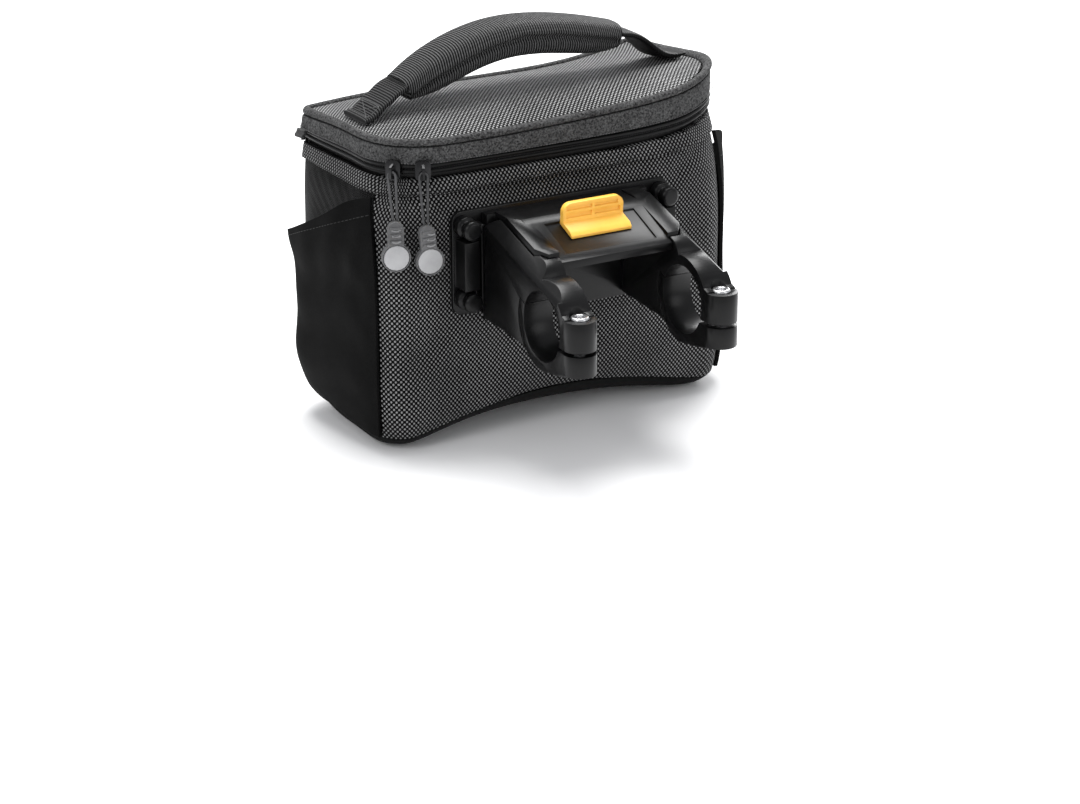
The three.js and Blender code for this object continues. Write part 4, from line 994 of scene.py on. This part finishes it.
def sewRow(name, line, pitch, length, thick, finish, lean=0.0):
    # One stitch is modelled, and laid along the line again and again.
    run = np.concatenate([[0], np.cumsum(np.linalg.norm(np.diff(line, axis=0), axis=1))])
    bpy.ops.mesh.primitive_cylinder_add(vertices=6, radius=thick / 2 * mm, depth=length * mm)
    stitch = bpy.context.object
    bpy.ops.object.mode_set(mode="EDIT")
    bpy.ops.mesh.select_all(action="SELECT")
    bpy.ops.mesh.bevel(offset=thick * 0.2 * mm, segments=1, affect="EDGES")
    bpy.ops.object.mode_set(mode="OBJECT")
    shape = readPoints(stitch) / mm
    faces = [tuple(face.vertices) for face in stitch.data.polygons]
    points, sewnFaces = [], []
    for k, mark in enumerate(np.arange(pitch / 2, run[-1] - pitch / 2, pitch)):
        place = np.array([np.interp(mark, run, line[:, i]) for i in range(3)])
        ahead = np.array([np.interp(mark + lookAhead, run, line[:, i]) for i in range(3)]) - place
        ahead /= np.linalg.norm(ahead)
        ahead = ahead + np.array([0, 0, lean])
        ahead /= np.linalg.norm(ahead)
        side = np.cross(ahead, (0, 0, 1.0))
        side = side / np.linalg.norm(side) if np.linalg.norm(side) > 0.1 else np.array([1.0, 0, 0])
        over = np.cross(side, ahead)
        turned = shape[:, :1] * side + shape[:, 1:2] * over + shape[:, 2:] * ahead + place
        sewnFaces += [tuple(v + k * len(shape) for v in face) for face in faces]
        points.append(turned)
    activate(stitch)
    bpy.ops.object.delete()
    mesh = bpy.data.meshes.new(name)
    mesh.from_pydata([tuple(v) for v in np.vstack(points) * mm], [], sewnFaces)
    piece = bpy.data.objects.new(name, mesh)
    bpy.context.collection.objects.link(piece)
    smoothByAngle(piece, 50)
    setFinish(piece, finish)
    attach(piece, "bag")


# Zip: two smooth ridges with the coil between them, and the stitches at the foot of the lid's band

zipLook = {
    "backingScale": (0.988, 0.978, 1),
    "ridgeHeights": (135.15, 132.75),
    "ridgeRadius": 1.0,
    "ridgeInset": 2.1,
    "coil": {"inset": 2.0, "height": 133.95, "pitch": 1.25, "length": 1.5, "thick": 0.55, "lean": 1.4},
    "ticks": {"inset": 0.62, "height": 136.75, "pitch": 1.5, "length": 1.05, "thick": 0.42},
    "cut": 1,                # how far the rows stop short of the zip's ends
}


def makeZip():
    backing = takeCopy("zip_chain", "zip_backing")
    subdivideSoft(backing, 1)
    movePoints(backing, lambda points: points * np.array(zipLook["backingScale"]))
    smoothByAngle(backing, 50)
    setFinish(backing, "zipTape")
    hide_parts("zip_chain")
    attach(backing, "bag")
    for k, height in enumerate(zipLook["ridgeHeights"]):
        line = lidLine(zipLook["ridgeInset"], height)
        addTube("zip_ridge_%d" % (k + 1), line, zipLook["ridgeRadius"], "zipTape", roundness=3)
    coil, ticks = zipLook["coil"], zipLook["ticks"]
    line = lidLine(coil["inset"], coil["height"], zipLook["cut"])
    sewRow("zip_coil", line, coil["pitch"], coil["length"], coil["thick"], "darkThread", coil["lean"])
    line = lidLine(ticks["inset"], ticks["height"], zipLook["cut"])
    sewRow("band_stitches", line, ticks["pitch"], ticks["length"], ticks["thick"], "thread")


rayRun = 50         # mm before a point, where the search for the piece starts


def layOnPiece(piece, points, direction, stand=0.05):
    # Moves points along a direction until they lie on the piece.
    places = [vertex.co for vertex in piece.data.vertices]
    tree = BVHTree.FromPolygons(places, [face.vertices for face in piece.data.polygons])
    way = Vector(direction).normalized()
    laid = []
    for point in points:
        hit = tree.ray_cast(Vector(point) * mm - way * rayRun * mm, way)[0]
        if hit:
            laid.append((hit - way * stand * mm) / mm)
    return np.array(laid)


# Seams: a row of stitches round the hem and under each pocket's mouth, and a crossed box on the strap

seams = {
    "hem": {"height": 123.6, "out": 0.02, "pitch": 2.4, "length": 1.7},
    "pocket": {"below": 5.0, "span": (-37, 28), "step": 2, "pitch": 2.6, "length": 1.8},
    "strap": {"ends": (-77.3, -70.8), "half": 8.6, "pitch": 2.2, "length": 1.6},
    "thick": 0.4,
    "outside": 98,          # beyond either end of the bag
    "above": 160,           # over the strap
}


def makeSeams():
    hem, pocket, strap = seams["hem"], seams["pocket"], seams["strap"]
    line = settle(tubLine("body_hem", hem["height"], hem["out"]))
    sewRow("hem_stitches", line, hem["pitch"], hem["length"], seams["thick"], "darkThread")
    for side, way in (("left", -1), ("right", 1)):
        row = [(way * seams["outside"], y, mouthHeight(y) - pocket["below"])
               for y in range(*pocket["span"], pocket["step"])]
        line = layOnPiece(bpy.data.objects["side_pocket_" + side + "_cloth"], row, (-way, 0, 0))
        sewRow("pocket_stitches_" + side, line, pocket["pitch"], pocket["length"], seams["thick"],
               "darkThread")
    low, high = strap["ends"]
    half = strap["half"]
    box = [(low, -half), (high, -half), (high, half), (low, half), (low, -half)]
    corners = box + [(high, half), (high, -half), (low, half)]
    path = []
    for (x0, y0), (x1, y1) in zip(corners, corners[1:]):
        for t in np.linspace(0, 1, 8)[:-1]:
            path.append((x0 + (x1 - x0) * t, y0 + (y1 - y0) * t, seams["above"]))
    line = layOnPiece(bpy.data.objects["handle_strap_left_webbing"], path, (0, 0, -1))
    sewRow("strap_stitches", line, strap["pitch"], strap["length"], seams["thick"], "thread")


# Ridges on the pulls' rubber tabs

pullTabs = {
    "left": {"turn": 254, "lean": 0},
    "right": {"turn": 260, "lean": 5},
    "ridges": (3.6, 6.2, 8.8),      # below the tab's top
    "half": 1.9,
    "bow": 0.6,
    "radius": 0.45,
}


def makeTabRidges():
    for side in ("left", "right"):
        tab = bpy.data.objects["pull_tab_" + side + "_finished"]
        turn = math.radians(pullTabs[side]["turn"])
        out = Vector((math.cos(turn), math.sin(turn), 0))
        across = Vector((-math.sin(turn), math.cos(turn), 0))
        low, high = [Vector(v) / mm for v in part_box("pull_tab_" + side)]
        middle = (low + high) / 2
        for k, drop in enumerate(pullTabs["ridges"]):
            height = high.z - drop
            slant = math.tan(math.radians(pullTabs[side]["lean"])) * (height - middle.z)
            row = []
            for t in np.linspace(-1, 1, 9):
                place = middle + across * (t * pullTabs["half"] + slant)
                row.append((place.x, place.y, height - pullTabs["bow"] * (1 - t * t)))
            line = layOnPiece(tab, row, -out, stand=0)
            addTube("tab_ridge_%s_%d" % (side, k + 1), line, pullTabs["radius"], "tabRidge")


# Folded end of the zip's tape, where it comes out at the far left corner

tapeEnd = {
    "place": (-89.4, 37.0, 134.2),
    "size": (2.4, 6.0, 3.8),
    "edge": 0.5,
    "turn": 12,
    # the wave's height and turns and the bow's curve, on lengths in metres
    "waveHeight": 0.0008,
    "waveTurn": 1400,
    "bow": 30,
}


def makeTapeEnd():
    bpy.ops.mesh.primitive_cube_add(size=1, location=(0, 0, 0))
    piece = bpy.context.object
    piece.name = "zip_tape_end"
    bpy.ops.object.mode_set(mode="EDIT")
    bpy.ops.mesh.select_all(action="SELECT")
    bpy.ops.transform.resize(value=tuple(v * mm for v in tapeEnd["size"]))
    bpy.ops.mesh.bevel(offset=tapeEnd["edge"] * mm, segments=2, affect="EDGES")
    bpy.ops.mesh.subdivide(number_cuts=2)
    bpy.ops.object.mode_set(mode="OBJECT")
    turn = math.radians(tapeEnd["turn"])
    cos, sin = math.cos(turn), math.sin(turn)

    def bendAndPlace(points):
        out = points.copy()
        out[:, 0] += tapeEnd["waveHeight"] * np.sin(out[:, 2] * tapeEnd["waveTurn"])
        out[:, 0] += out[:, 1] ** 2 * tapeEnd["bow"]
        out[:, 0], out[:, 1] = out[:, 0] * cos - out[:, 1] * sin, out[:, 0] * sin + out[:, 1] * cos
        return out + np.array(tapeEnd["place"]) * mm

    movePoints(piece, bendAndPlace)
    smoothByAngle(piece, 60)
    setFinish(piece, "tapeTip")
    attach(piece, "bag")


makeZip()
makeSeams()
makeTabRidges()
makeTapeEnd()
print("zip and seams are sewn")
